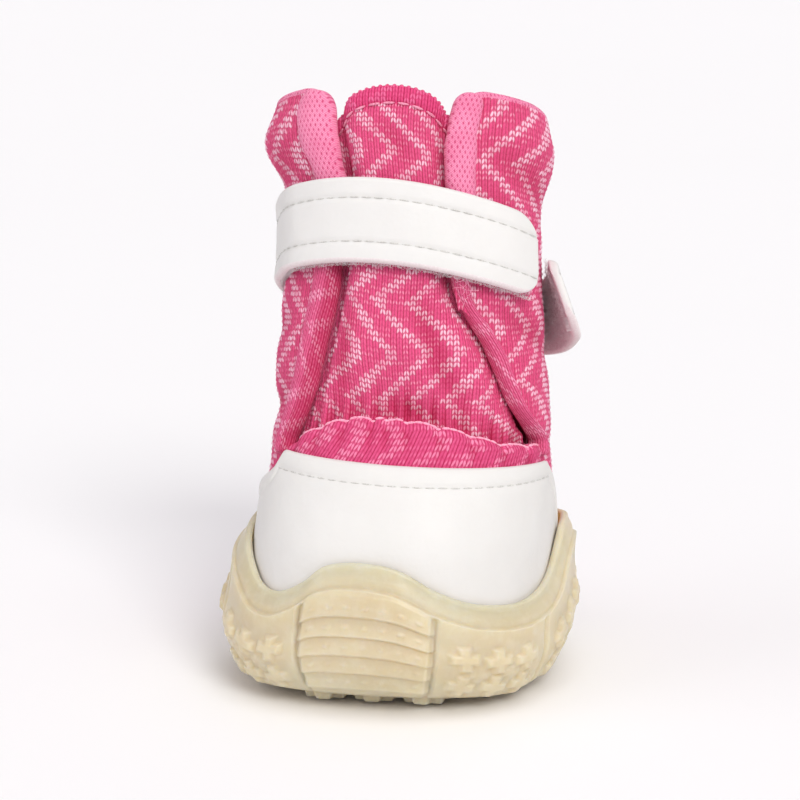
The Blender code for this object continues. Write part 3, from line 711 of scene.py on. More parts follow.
def mesh_cloth(name, hole, base, light, low_base):
    """Spacer mesh: light pink with staggered dark pinholes, deeper pink low on the boot."""
    n = Nodes(name)
    x, y = n.cloth()
    row = n.floor(y)
    shift = n.times(n.math("MODULO", row, 2.0), 0.5)
    dx = n.minus(n.fraction(n.plus(x, shift)), 0.5)
    dy = n.minus(n.fraction(y), 0.5)
    far = n.plus(n.math("POWER", n.over(dx, 0.15), 2.0), n.math("POWER", n.over(dy, 0.34), 2.0))
    where = n.where()
    upper = n.spread(n.split(where)[2], 0.074, 0.088)
    fine = n.noise(where, 4200.0, 4.0, 0.7)
    rough = n.noise(where, 900.0, 3.0)
    soft = n.noise(where, 220.0, 2.0)
    pin = n.spread(n.plus(far, n.spread(rough, 0.3, 0.7, -0.45, 0.45)), 0.2, 1.7)
    ribs = n.math("SINE", n.times(x, 4 * math.pi))
    weave = n.times(ribs, n.math("SINE", n.times(y, 4 * math.pi)))
    cloth = n.mix(upper, low_base, base)
    cloth = n.mix(n.spread(weave, -0.1, 0.85, 0.0, 0.75), cloth, light)
    gaps = n.times(n.spread(weave, -0.8, -0.1, 0.75, 0.0), n.spread(upper, 0.0, 1.0, 1.0, 0.25))
    cloth = n.mix(gaps, cloth, hole)
    cloth = n.mix(n.spread(fine, 0.35, 0.75, 0.0, 0.35), cloth, light)
    cloth = n.mix(n.spread(soft, 0.35, 0.7, 0.0, 0.3), cloth, low_base)
    colour = n.mix(n.spread(pin, 0.0, 1.0, 0.12, 1.0), hole, cloth)
    relief = n.scaled_sum(fine, 0.5, n.scaled_sum(weave, 0.25, pin))
    normal = n.bump(relief, 0.5, 0.0002)
    return n.finish(colour, 0.85, normal, Sheen_Weight=0.12, Sheen_Roughness=0.5,
                    Specular_IOR_Level=0.15)


def coated_leather(name, base, shade):
    """Off-white coated leather with a fine pebble and faint handling marks."""
    n = Nodes(name)
    where = n.where()
    cells = n.add("ShaderNodeTexVoronoi", feature="SMOOTH_F1")
    n.join(where, cells.inputs["Vector"])
    cells.inputs["Scale"].default_value = LEATHER_GRAIN
    pebble = cells.outputs["Distance"]
    soft = n.noise(where, 90.0, 4.0)
    fine = n.noise(where, 2600.0, 3.0)
    colour = n.mix(n.spread(soft, 0.35, 0.7, 0.0, 0.5), base, shade)
    height = n.scaled_sum(fine, 0.4, pebble)
    normal = n.bump(height, 0.22, 0.00008)
    waves = n.bump(n.noise(where, 260.0, 2.0), 0.20, 0.0007, normal)
    return n.finish(colour, n.spread(fine, 0.3, 0.7, 0.48, 0.62), waves,
                    Specular_IOR_Level=0.25, Subsurface_Weight=0.08,
                    Subsurface_Radius=(0.0012, 0.001, 0.0008), Subsurface_Scale=1.0)


def gum_rubber(name, base, deep, pale):
    """Translucent moulded rubber, cloudy inside and faintly dusty outside."""
    n = Nodes(name)
    where = n.where()
    cloud = n.noise(where, 70.0, 4.0)
    dust = n.noise(where, 420.0, 5.0, 0.65)
    fine = n.noise(where, 3000.0, 3.0)
    colour = n.mix(n.spread(cloud, 0.35, 0.7), base, deep)
    colour = n.mix(n.spread(dust, 0.45, 0.75, 0.0, 0.4), colour, pale)
    normal = n.bump(n.scaled_sum(fine, 0.5, dust), 0.16, 0.0002)
    return n.finish(colour, n.spread(dust, 0.3, 0.7, 0.30, 0.46), normal,
                    Subsurface_Weight=0.75, Subsurface_Radius=(0.0085, 0.0065, 0.0036),
                    Subsurface_Scale=1.0, Specular_IOR_Level=0.45, IOR=1.48)


def thread(name, base, dark):
    """Twisted thread, light with darker strands."""
    n = Nodes(name)
    where = n.where()
    strands = n.noise(where, 3500.0, 3.0)
    colour = n.mix(n.spread(strands, 0.35, 0.7), dark, base)
    return n.finish(colour, 0.7, n.bump(strands, 0.4, 0.0001), Sheen_Weight=0.2)


def brushed_cloth(name, base, light):
    """Matt cloth with a short brushed nap."""
    n = Nodes(name)
    where = n.where()
    fine = n.noise(where, 2400.0, 5.0, 0.7)
    soft = n.noise(where, 200.0, 3.0)
    colour = n.mix(n.spread(fine, 0.3, 0.7), base, light)
    colour = n.mix(n.spread(soft, 0.3, 0.7, 0.0, 0.25), colour, base)
    return n.finish(colour, 0.9, n.bump(fine, 0.5, 0.0003), Sheen_Weight=0.5)


# The deep pink is painted shade between the knit's loops and also its random darker patches; the
# crease pink is painted shade in creases and folds
GROOVE_SHADE_AND_PATCH_PINK = (0.43, 0.008, 0.062)
PAINTED_SHADE_PINK = (0.42, 0.006, 0.055)
KNIT_PINK = (0.76, 0.062, 0.210)
PALE_PINK = (1.00, 0.66, 0.79)
VAMP_PINK = (0.72, 0.078, 0.225)
VAMP_PALE = (0.92, 0.30, 0.48)
BINDING_PINK = (0.78, 0.12, 0.28)
BINDING_PALE = (0.97, 0.42, 0.60)
TONGUE_PINK = (0.80, 0.075, 0.235)
HEM_PALE = (0.90, 0.20, 0.40)
MESH_PINK = (0.86, 0.22, 0.40)
MESH_LIGHT = (0.98, 0.45, 0.62)
MESH_HOLE = (0.62, 0.055, 0.170)
MESH_LOW = (0.66, 0.07, 0.205)
LINING_PINK = (0.62, 0.10, 0.22)
LINING_LIGHT = (0.72, 0.18, 0.31)
LINING_HOLE = (0.30, 0.02, 0.08)
LINING_LOW = (0.55, 0.07, 0.17)
LEATHER_WHITE = (0.75, 0.74, 0.715)
LEATHER_SHADE = (0.70, 0.69, 0.665)
STRAP_WHITE = (0.76, 0.75, 0.73)
STRAP_SHADE = (0.71, 0.70, 0.68)
LEATHER_GRAIN = 1500.0
GUM = (0.67, 0.575, 0.40)
GUM_DEEP = (0.62, 0.51, 0.33)
GUM_PALE = (0.75, 0.675, 0.54)

knit_look = knit("knit_jersey", GROOVE_SHADE_AND_PATCH_PINK, KNIT_PINK, PALE_PINK)
vamp_look = knit("vamp_jersey", GROOVE_SHADE_AND_PATCH_PINK, VAMP_PINK, VAMP_PALE)
binding_look = knit("binding_jersey", GROOVE_SHADE_AND_PATCH_PINK, BINDING_PINK, BINDING_PALE)
tongue_look = knit("tongue_jersey", GROOVE_SHADE_AND_PATCH_PINK, TONGUE_PINK, PALE_PINK)
hem_look = knit("hem_jersey", GROOVE_SHADE_AND_PATCH_PINK, TONGUE_PINK, HEM_PALE)
mesh_look = mesh_cloth("lining_mesh", MESH_HOLE, MESH_PINK, MESH_LIGHT, MESH_LOW)
lining_look = mesh_cloth("inner_lining", LINING_HOLE, LINING_PINK, LINING_LIGHT, LINING_LOW)
leather_look = coated_leather("cap_leather", LEATHER_WHITE, LEATHER_SHADE)
strap_look = coated_leather("strap_leather", STRAP_WHITE, STRAP_SHADE)
gum_look = gum_rubber("gum_rubber", GUM, GUM_DEEP, GUM_PALE)
thread_look = thread("white_thread", (0.74, 0.73, 0.70), (0.50, 0.49, 0.46))
pink_thread_look = thread("pink_thread", (0.93, 0.45, 0.58), (0.70, 0.14, 0.28))
backing_look = brushed_cloth("loop_backing", (0.74, 0.66, 0.66), (0.88, 0.83, 0.83))
seam_thread_look = thread("seam_thread", (0.98, 0.52, 0.66), (0.88, 0.28, 0.44))
loop_look = thread("knit_loop", (0.86, 0.13, 0.32), (0.60, 0.03, 0.12))
fibre_look = thread("loop_fibre", (0.93, 0.92, 0.91), (0.80, 0.79, 0.78))
insole_look = brushed_cloth("insole_cloth", (0.55, 0.10, 0.21), (0.75, 0.24, 0.37))


# Knitted pieces


def wales_of(bearing):
    return np.radians(bearing) * KNIT_RADIUS / WALE


def knit_columns(first, last, per_wale=4):
    """Bearings that keep step with the wales."""
    start = math.floor(wales_of(first) * per_wale)
    stop = math.ceil(wales_of(last) * per_wale)
    return np.degrees(np.arange(start, stop + 1) / per_wale * WALE / KNIT_RADIUS)


def quarter_crease(level, bearing):
    return creased(level, bearing, QUARTER_CREASES) * ease((level - 0.030) / 0.010)


def add_rolled_rim(patch, level, bearing, top, uv, face, steps, rise, slot=0):
    """Rolls the cloth over from the top row of its outer face to its inner face."""
    turns = np.linspace(0, math.pi, steps)[1:, None]
    middle = (top[-1] - KNIT_WALL) / 2
    half = (top[-1] + KNIT_WALL) / 2
    rolled = place(level[-1] + np.sin(turns) * rise, bearing[-1], middle + np.cos(turns) * half)
    u, v = uv[-1, :, 0], uv[-1, :, 1]
    rim_uv = np.stack(np.broadcast_arrays(u, v + turns * 1.3), -1)
    points, rim_uv = np.concatenate((face[-1:], rolled)), np.concatenate((uv[-1:], rim_uv))
    if slot:
        rim_uv = rim_uv * (WALE / PINHOLE, 1.0)
    patch.grid(points, rim_uv, slot)


def make_quarter(name, side):
    """From the throat's edge round to the back seam, rolled over at the collar."""
    level_rows = even(QUARTER_FOOT, COLLAR, COURSE / 3)
    first, last = (INNER_BEARING, 180.0) if side > 0 else (-180.0, -INNER_BEARING)
    bearings = np.clip(knit_columns(first, last), -180.0, 180.0)
    level, bearing = crossed(level_rows, bearings)
    share = (level - level_rows[0]) / (COLLAR - level_rows[0])
    bearing = past_throat(bearing, level, side)
    level = blend(level_rows[0], collar_level(bearing), share)
    u = wales_of(bearing)
    v = course_of(level, u)
    soft = quarter_crease(level, bearing)
    top = soft + knit_relief(u, v) - LOOP_SINK
    patch = Patch()
    uv = np.stack((u, v), -1)
    face = place(level, bearing, top)
    # depth here is painted shade: the knit is darkened in the creases' troughs
    patch.grid(face, uv, depth=0.8 * np.clip(-soft / (0.75 * MM), 0, 1))
    add_rolled_rim(patch, level, bearing, top, uv, face, 11, KNIT_WALL / 2, 1)
    piece = patch.build(name, [knit_look, mesh_look])
    return dress(piece)


def gathered(bearing):
    """0 where the seam's thread pulls the cloth in, 1 midway between two such places."""
    marks = np.array(GATHERS)
    after = np.clip(np.searchsorted(marks, bearing), 1, len(marks) - 1)
    across = (bearing - marks[after - 1]) / (marks[after] - marks[after - 1])
    return np.sqrt(np.clip(1 - (2 * across - 1) ** 2, 0, 1))


def pinched(bearing):
    """1 at a gather, falling off within about 2 degrees."""
    away = np.min(np.abs(np.asarray(bearing)[..., None] - np.array(GATHERS)), axis=-1)
    return np.exp(-((away / 2.0) ** 2))


def vamp_edge(bearing):
    """The vamp's scalloped top edge, low where the thread gathers it."""
    return seam_level(bearing) - VAMP_DROP + GATHER_RISE * (gathered(bearing) - 0.6)


def make_vamp():
    """The band of knit between the cap and the tongue, rolled in at its top edge."""
    left, right = throat_at(SEAM_LEVEL)
    bearings = knit_columns(left - 1.5, right + 1.5)
    rows = np.linspace(0, 1, 34)
    share, bearing = crossed(rows, bearings)
    level = blend(VAMP_FOOT, vamp_edge(bearing), share)
    u = wales_of(bearing) - VAMP_LEAN * (level - SEAM_LEVEL) / COURSE
    v = course_of(level, u)
    puff = 0.45 * MM * np.sin(math.pi * np.clip((level - 0.041) / 0.009, 0, 1)) ** 2
    gather = -0.40 * MM * pinched(bearing) * ease((share - 0.45) / 0.5)
    top = puff + gather + knit_relief(u, v) - LOOP_SINK
    patch = Patch()
    uv = np.stack((u, v), -1)
    face = place(level, bearing, top)
    # depth here is painted shade: the knit is darkened at the gathers near its top edge
    patch.grid(face, uv, depth=0.7 * pinched(bearing) * ease((share - 0.6) / 0.4))
    add_rolled_rim(patch, level, bearing, top, uv, face, 12, VAMP_ROLL)
    piece = patch.build("vamp", [vamp_look])
    return dress(piece)


def tongue_out(level, bearing):
    """How far out the tongue lies: proud in the throat, tucked behind the upper beside it."""
    inside = np.minimum(bearing - THROAT_LEFT(level), THROAT_RIGHT(level) - bearing)
    across = np.sin(0.5 * math.pi * np.clip((inside - TONGUE_MARGIN) / (1.5 * TONGUE_LAP), 0, 1))
    above = ease((level - seam_level(bearing)) / TONGUE_SWELL)
    tucked = -(KNIT_WALL + TUCK_SLACK + GAP)
    return blend(tucked, TONGUE_BULGE, across * above)


def tongue_top(bearing):
    """The tongue's rounded top edge."""
    left, right = throat_at(COLLAR)
    across = 2 * bearing / (right - left)
    return COLLAR + TONGUE_PROUD - TONGUE_ROUND * across * across


def pleats(bearing):
    """Fine pleats where the tongue is gathered, 1 in a fold and -1 on a ridge."""
    turn = np.radians(bearing)
    return np.sin(turn * 58.0 + 0.8 * np.sin(turn * 13.0))


def tongue_surface(level, bearing):
    """The tongue's outer face without its stitches: its swell, creases and hem."""
    soft = creased(level, bearing, TONGUE_CREASES)
    hem = tongue_top(bearing) - HEM - level
    groove = -0.30 * MM * np.exp(-((hem / (0.45 * MM)) ** 2))
    swell = 0.22 * MM * ease(-hem / (1.2 * MM))
    above = level - seam_level(bearing)
    near_seam = ease(1 - above / (8.0 * MM)) * ease(above / MM)
    pucker = MM * near_seam * (-0.30 * pleats(bearing) - 0.75 * pinched(bearing))
    return tongue_out(level, bearing) + soft * 0.8 + groove + swell + pucker


def make_tongue():
    """The knitted tongue behind the throat, with a hem, a lined back and rounded sides."""
    rows = even(TONGUE_FOOT, COLLAR, COURSE / (3 * TONGUE_LEAN))
    columns = knit_columns(-57.0, 95.0)
    level, bearing = crossed(rows, columns)
    left = THROAT_LEFT(level) - TONGUE_LAP + 1
    right = THROAT_RIGHT(level) + TONGUE_LAP - 1
    bearing = np.clip(bearing, left, right)
    share = (level - rows[0]) / (rows[-1] - rows[0])
    level = blend(TONGUE_FOOT, tongue_top(bearing), share)
    near_side = np.minimum(bearing - left, right - bearing)
    near = np.radians(near_side) * KNIT_RADIUS
    near = np.minimum(near, tongue_top(bearing) - level)
    u = wales_of(bearing) + 1.0
    v = course_of(level, u, TONGUE_LEAN) - 4.0
    smooth = tongue_surface(level, bearing)
    top = smooth + knit_relief(u, v) - LOOP_SINK
    bottom = smooth - TONGUE_WALL
    full = rounded(near, TONGUE_WALL / 2)
    middle = (top + bottom) / 2
    patch = Patch()
    uv = np.stack((u, v), -1)
    outer = place(level, bearing, blend(middle, top, full))
    fold = int(round((1 - HEM / (COLLAR - TONGUE_FOOT)) * (len(rows) - 1)))
    # Painted shade for the knit: low down by the seam with its pleats, at the gathers, along the
    # sides by the bindings and in the creases' troughs
    above = level - seam_level(bearing)
    low = ease(1 - above / (6.0 * MM))
    depth = low * (0.50 + 0.35 * pleats(bearing))
    depth += 0.5 * pinched(bearing) * ease(1 - above / (8.0 * MM))
    depth += 0.9 * ease(1 - (near_side - 1.5) / 5.0)
    depth += 0.7 * np.clip(-creased(level, bearing, TONGUE_CREASES) / (0.6 * MM), 0, 1)
    depth = np.clip(depth, 0, 1)
    patch.grid(outer[:fold + 1], uv[:fold + 1], depth=depth[:fold + 1])
    patch.grid(outer[fold:], uv[fold:], 2, depth=depth[fold:])
    patch.grid(place(level, bearing, blend(middle, bottom, full)), uv, 1, flip=True)
    piece = patch.build("tongue_cloth", [tongue_look, lining_look, hem_look])
    return dress(piece, "tongue")


def make_lining():
    """The shaft's and the foot's inner face, seen from the collar."""
    patch = Patch()
    rows = even(LINING_FOOT, COLLAR - 0.0002, 0.9 * MM)

    def add(level, bearing, out):
        uv = np.stack((np.radians(bearing) * KNIT_RADIUS / PINHOLE, level / PINHOLE), -1)
        patch.grid(place(level, bearing, out), uv, flip=True)

    for low, high in ((INNER_BEARING, 180.0), (-180.0, -INNER_BEARING)):
        level, bearing = crossed(rows, even(low, high, 2.2))
        bearing = past_throat(bearing, level, low)
        share = (level - rows[0]) / (rows[-1] - rows[0])
        level = blend(rows[0], collar_level(bearing), share)
        soft = quarter_crease(level, bearing) * ease((COLLAR - level) / 0.004)
        add(level, bearing, soft - KNIT_WALL)
    left, right = throat_at(SEAM_LEVEL)
    share, bearing = crossed(np.linspace(0, 1, 40), even(left, right, 2.2))
    add(blend(rows[0], seam_level(bearing), share), bearing, -KNIT_WALL)
    piece = patch.build("inner_lining", [lining_look])
    return dress(piece)


def binding_width(level, side):
    """Thin low down on the right, wider at the flap on the left."""
    if side > 0:
        return blend(THIN_BINDING, BINDING_WIDTH, ease((level - 0.066) / 0.016))
    start, span = level_of(1.60), 0.25 * SHAFT_LENGTH
    return blend(BINDING_WIDTH, FLAP_WIDTH, ease((level - start) / span))


def make_binding(name, side, node):
    """One throat edge's soft roll: knit low down, lining mesh above, with a domed top."""
    top = COLLAR + 0.5 * MM
    low = even(BINDING_FOOT, top - BINDING_DOME, 0.26 * MM)
    dome = BINDING_DOME * (1 - np.linspace(1, 0, 34)[1:] ** 1.7)
    rows = np.concatenate((low, top - BINDING_DOME + dome))
    loop = np.linspace(0, 1, 81)
    level, around = crossed(rows, loop)
    edge = throat_edge(level, side)
    width = binding_width(level, side)
    turn = 2 * math.pi * around
    high = level / MM
    wave = 0.28 * np.sin(high * 0.42 + 1.3 * side) + 0.16 * np.sin(high * 1.1)
    puff = 1.15 + 0.35 * ease((level - 0.080) / 0.012) + 0.14 * np.sin(high * 0.33 + 0.7)
    crown = MM * np.minimum(puff, 0.25 + 0.45 * width / MM)
    floor = -KNIT_WALL - 0.25 * MM
    from_top = np.clip((top - level) / (0.52 * width), 0, 1)
    from_foot = np.clip((level - BINDING_FOOT) / (1.1 * MM), 0, 1)
    outline = np.sqrt(1 - (1 - from_top) ** 2) * np.sqrt(1 - (1 - from_foot) ** 2)
    near_end = np.clip(np.minimum(top - level, level - BINDING_FOOT) / (1.4 * MM), 0, 1)
    full = np.sqrt(1 - (1 - near_end) ** 2)
    across = width / 2 - 0.30 * MM
    across = across + (width / 2 + 0.30 * MM + wave * 0.5 * MM) * np.cos(turn) * outline
    shape = np.sign(np.sin(turn)) * np.abs(np.sin(turn)) ** 0.8
    middle, half = (crown + floor) / 2, (crown - floor) / 2
    out = middle + half * shape * full
    lean = np.clip((across - 0.35 * width) / (0.65 * width), 0, 1)
    out = np.where(shape < 0, blend(out, np.maximum(out, -1.2 * MM), lean), out)
    x = across / PINHOLE
    y = level / (PINHOLE * MESH_STRETCH)
    steps = np.hypot(np.diff(across, axis=1), np.diff(out, axis=1))
    girth = np.concatenate((np.zeros((len(rows), 1)), np.cumsum(steps, axis=1)), axis=1)
    wale = girth / (0.72 * WALE)
    course = level / (0.9 * COURSE) - 0.8 * side * wale
    change = int(np.searchsorted(rows, MESH_START))
    relief = np.where(level < MESH_START, knit_relief(wale, course, 0.8), mesh_relief(x, y))
    out = out + relief * np.clip(np.sin(turn) * 3, 0, 1) * full
    bearing = edge + side * np.degrees(across / ring_radius(level, edge))
    patch = Patch()
    uv = np.stack((x, y), -1)
    knit_uv = np.stack((wale, course), -1)
    # Painted shade: the left roll's side towards the tongue is darkened like the fold's shadow
    shade = 0.8 * ease((0.30 - across / width) / 0.25) * float(side < 0)
    points = place(level, bearing, out)
    patch.grid(points[:change + 1], knit_uv[:change + 1], 1, depth=shade[:change + 1])
    patch.grid(points[change:], uv[change:])
    for row, texture, slot in ((points[0], knit_uv[:2], 1), (points[-1], uv[-2:], 0)):
        centre = np.broadcast_to(row.mean(0), row.shape)
        patch.grid(np.stack((centre, row)), texture, slot)
    piece = patch.build(name, [mesh_look, binding_look])
    face_outwards(piece)
    return dress(piece, node)


def face_outwards(piece):
    """Turns the faces of a closed piece outwards."""
    mesh = bmesh.new()
    mesh.from_mesh(piece.data)
    bmesh.ops.recalc_face_normals(mesh, faces=mesh.faces)
    mesh.to_mesh(piece.data)
    mesh.free()


# Leather pieces


def make_cap():
    """The toe cap, its edge raised a little, with a stitched furrow along it."""
    steps = np.linspace(-1, 1, 190)
    closer = (1 - (1 - np.abs(steps)) ** 1.35) ** (1 / 1.12)
    bearings = np.sign(steps) * CAP_REACH * closer
    rows = np.concatenate((np.linspace(0, 0.9, 60)[:-1], np.linspace(0.9, 1.0, 26)))
    share, bearing = crossed(rows, bearings)
    top_level = cap_top(bearing)
    level = blend(CAP_LOW, top_level, share)
    surface = cap_surface(level, bearing)
    near_top = top_level - level
    near_side = np.radians(CAP_REACH - np.abs(bearing)) * CAP_RADIUS
    near = np.minimum(near_top, near_side)
    patch = Patch()
    uv = np.stack((np.radians(bearing) * CAP_RADIUS, level), -1) / MM
    full = rounded(near, CAP_WALL * 0.5)
    bottom = np.full(level.shape, CAP_SEAT)
    middle = (surface + bottom) / 2
    patch.grid(place(level, bearing, blend(middle, surface, full)), uv)
    patch.grid(place(level, bearing, blend(middle, bottom, full)), uv, flip=True)
    piece = patch.build("toe_cap_leather", [leather_look])
    return dress(piece, "toe_cap")


def cap_surface(level, bearing):
    """The cap's outer face: its wall, the stitched furrow and faint dents."""
    below = cap_top(bearing) - level
    furrow = -0.22 * MM * np.exp(-(((below - CAP_STITCH) / (0.55 * MM)) ** 2))
    lip = 0.10 * MM * np.exp(-(((below - 1.2 * MM) / (0.9 * MM)) ** 2))
    dents = 0.16 * MM * np.sin(np.radians(bearing) * 7.0 + level / MM * 0.21)
    dents += 0.10 * MM * np.sin(np.radians(bearing) * 17.0 - level / MM * 0.37 + 1.0)
    fade = ease(below / (6 * MM)) * ease((level - 0.016) / 0.006)
    return CAP_SEAT + CAP_WALL + furrow + lip + dents * fade * 0.6


def strap_level(bearing):
    """The level of the strap's middle line."""
    turn = np.radians(bearing)
    middle = INSTEP_HEIGHT + STRAP_HEIGHT
    return middle + STRAP_RISE * np.cos(turn) - STRAP_CANT * np.sin(turn)


def strap_out(bearing, side):
    """How far out the strap's inner face lies, the same all across the band."""
    start = np.where(bearing < 0, SNUG_START_LEFT, SNUG_START_RIGHT)
    share = ease((np.abs(bearing) - start) / SNUG_SPAN)
    return blend(STRAP_OVER, STRAP_SNUG, share) + 0 * side


def tab_level(bearing):
    return INSTEP_HEIGHT + STRAP_HEIGHT - TAB_DROP(bearing)


def tab_out(bearing, side):
    """How far out the tab's inner face lies: it flares more at its lower edge."""
    return blend(TAB_LOWER(bearing), TAB_UPPER(bearing), (side + 1) / 2)


def band_half_width(from_end):
    """Half the band's width at a distance from its rounded free end."""
    short = np.clip(END_RADIUS - from_end, 0.0, END_RADIUS)
    return STRAP_WIDTH / 2 - END_RADIUS + np.sqrt(END_RADIUS**2 - short**2)


def band_face(bearing, across, level_at, out_at):
    """Level and inner-face distance at a place across the band, in metres off its middle."""
    side = across / (STRAP_WIDTH / 2)
    return level_at(bearing) + across, out_at(bearing, side)


def make_band(name, node, start, free_end, level_at, out_at):
    """A leather band on a loop backing, with rounded edges and two stitched furrows."""
    fine = np.concatenate((np.linspace(0, 0.94, 230)[:-1], np.linspace(0.94, 1.0, 50)))
    bearings = start + (free_end - start) * fine
    if bearings[0] > bearings[-1]:
        bearings = bearings[::-1]
    halves = np.linspace(-1, 1, 61)
    halves = np.sign(halves) * (1 - (1 - np.abs(halves)) ** 1.25)
    part, bearing = crossed(halves, bearings)
    radius = ring_radius(level_at(bearing), bearing) + out_at(bearing, 0.0)
    from_end = np.radians(np.abs(free_end - bearing)) * radius
    half = band_half_width(from_end)
    across = part * half
    level, inner = band_face(bearing, across, level_at, out_at)
    near = np.minimum(half - np.abs(across), from_end)
    near = np.minimum(near, np.radians(np.abs(start - bearing)) * radius)
    from_line = np.abs(across) - (STRAP_WIDTH / 2 - STRAP_STITCH)
    lines = np.exp(-((from_line / (0.5 * MM)) ** 2))
    turn = np.radians(bearing)
    wave = np.sin(turn * 9.0) + 0.6 * np.sin(turn * 21.0 + across / MM * 0.25)
    outer = inner + STRAP_WALL - 0.24 * MM * lines + 0.05 * MM * wave
    seam = inner + PILE_FOOT
    full = rounded(near, STRAP_WALL * 0.42)
    patch = Patch()
    uv = np.stack((np.radians(bearing) * KNIT_RADIUS, level), -1) / MM
    front = place(level, bearing, blend(seam, outer, full))
    felt = int(np.searchsorted(halves, -1 + 2 * FELT_EDGE / STRAP_WIDTH))
    patch.grid(front[:felt + 1], uv[:felt + 1], 1)
    patch.grid(front[felt:], uv[felt:], 0)
    patch.grid(place(level, bearing, blend(seam, inner, full)), uv, 1, flip=True)
    piece = patch.build(name, [strap_look, backing_look])
    return dress(piece, node)


# Sole


def rim_level(bearing):
    return RIM_SHARE(turned_to(bearing))


def cup_out(bearing):
    """How far out the cup's inner face lies: over the cap in front, on the knit behind."""
    turned = np.abs(turned_to(bearing))
    over_cap = CAP_SEAT + CAP_WALL + GAP
    return blend(over_cap, GAP, ease((turned - CAP_REACH - CUP_EASE) / CUP_EASE))


def spring_at(y):
    """How far the underside rises at the toe and under the arch."""
    along = y / (FOOT_LENGTH / 2)
    toe = TOE_SPRING * ease((-along - SPRING_START) / (1 - SPRING_START))
    return toe + ARCH_RISE * ease(1 - np.abs(along) / ARCH_SPAN)


# The wall's curve for each place of the cup's inner face, kept once made
FLARE = {}


def wall_out(bearing, rise):
    """How far the sole's wall stands out: a smooth curve that ends at the band's foot."""
    rises = column_of(WALL, "rise") + [1.0]
    low = [flare * SOLE_FLARE for flare in column_of(WALL, "flare")]
    feet = RIM_WALL + BAND_FLARE + STEP_DEPTH
    curves = []
    for cup in (GAP, CAP_SEAT + CAP_WALL + GAP):
        if cup not in FLARE:
            FLARE[cup] = Reader(rises, low + [cup + feet])
        curves.append(FLARE[cup](rise))
    share = (cup_out(bearing) - GAP) / (CAP_SEAT + CAP_WALL)
    return blend(curves[0], curves[1], share)


def plus_height(x, y, size, arm, soft):
    """A plus sign's height, 1 on top, falling off softly over its edges."""
    bar_x = np.maximum(np.abs(x) - size / 2, np.abs(y) - arm / 2)
    bar_y = np.maximum(np.abs(y) - size / 2, np.abs(x) - arm / 2)
    edge = np.minimum(bar_x, bar_y)
    return ease(0.5 - edge / soft)


def wall_detail(bearing, rise):
    """Lugs, ribs, studs and grooves on the sole's wall."""
    signed = turned_to(bearing)
    turned = np.abs(signed)
    arc = BALL_WIDTH / 2 + 0.005
    out = np.zeros(bearing.shape)
    pad = (turned < GROOVES[0]) | (turned > GROOVES[-1])
    first, last = 0.10, 0.95
    ribs = (rise - first) / (last - first) * SHINGLE_COUNT
    within = ribs - np.floor(ribs)
    shingle = np.clip(1 - within, 0, 1) * ease(within / 0.10)
    on = (rise > first) & (rise < last)
    out += np.where(pad, PAD_PROUD * ease(rise / 0.08) * ease((1 - rise) / 0.05), 0)
    out += np.where(pad & on, SHINGLE_DEPTH * shingle, 0)
    from_pad = np.where(turned < 90, turned, 180 - turned)
    stud_x = np.radians(from_pad * np.sign(signed)) * arc / (2.9 * MM)
    studs = np.hypot((stud_x - np.round(stud_x)) * 2.9, (within - 0.52) * 3.6)
    out += np.where(pad & on & (from_pad < 16), 0.30 * MM * ease(1.15 - studs / 0.46), 0)
    height = RIM_SHARE(signed) - BAND_WIDTH - SOLE_CLEAR
    for mark in LUG_BEARINGS:
        for level in LUG_LEVELS:
            tilt = math.radians(8.0 * math.sin(mark * 1.7 + level * 9.0))
            x = np.radians(turned - mark) * arc
            y = (rise - level) * height
            px = x * math.cos(tilt) - y * math.sin(tilt)
            py = x * math.sin(tilt) + y * math.cos(tilt)
            out += LUG_PROUD * plus_height(px, py, LUG_SIZE, LUG_ARM, 0.8 * MM)
    for mark, level in SMALL_LUGS:
        x = np.radians(turned - mark) * arc
        y = (rise - level) * height
        lug = plus_height(x, y, SMALL_LUG_SIZE, SMALL_LUG_ARM, 0.7 * MM)
        out += SMALL_LUG_PROUD * lug * (height > 0.011)
    half = GROOVE_WIDTH / 2
    for groove in GROOVES:
        away = np.abs(np.radians(turned - groove)) * arc
        fade = ease((1.0 - rise) / 0.04) * ease(rise / 0.02)
        out -= GROOVE_DEPTH * ease(1.5 - away / half) * fade
    return out


def tread_depth(x, y):
    """How far the tread stands below the underside: big plus lugs, small ones between."""
    depth = np.zeros(x.shape)
    for row in TREAD:
        for i in range(row.count):
            aside = (i - (row.count - 1) / 2) * row.spacing
            ahead = row.along * FOOT_LENGTH / 2
            lug = plus_height(x - aside, y - ahead, TREAD_SIZE, TREAD_ARM, 0.5 * MM)
            depth = np.maximum(depth, SOLE_CLEAR * lug)
    column = x / SMALL_TREAD_PITCH
    line = y / SMALL_TREAD_PITCH + 0.5
    near_x = (column - np.round(column)) * SMALL_TREAD_PITCH
    near_y = (line - np.round(line)) * SMALL_TREAD_PITCH
    small = plus_height(near_x, near_y, SMALL_TREAD_SIZE, SMALL_TREAD_ARM, 0.45 * MM)
    small = SMALL_TREAD_PROUD * small
    inside = ease((1 - (np.abs(x) / 0.0235) ** 2.6 - (np.abs(y) / 0.0265) ** 2.6) * 6)
    return np.maximum(depth, small * inside)


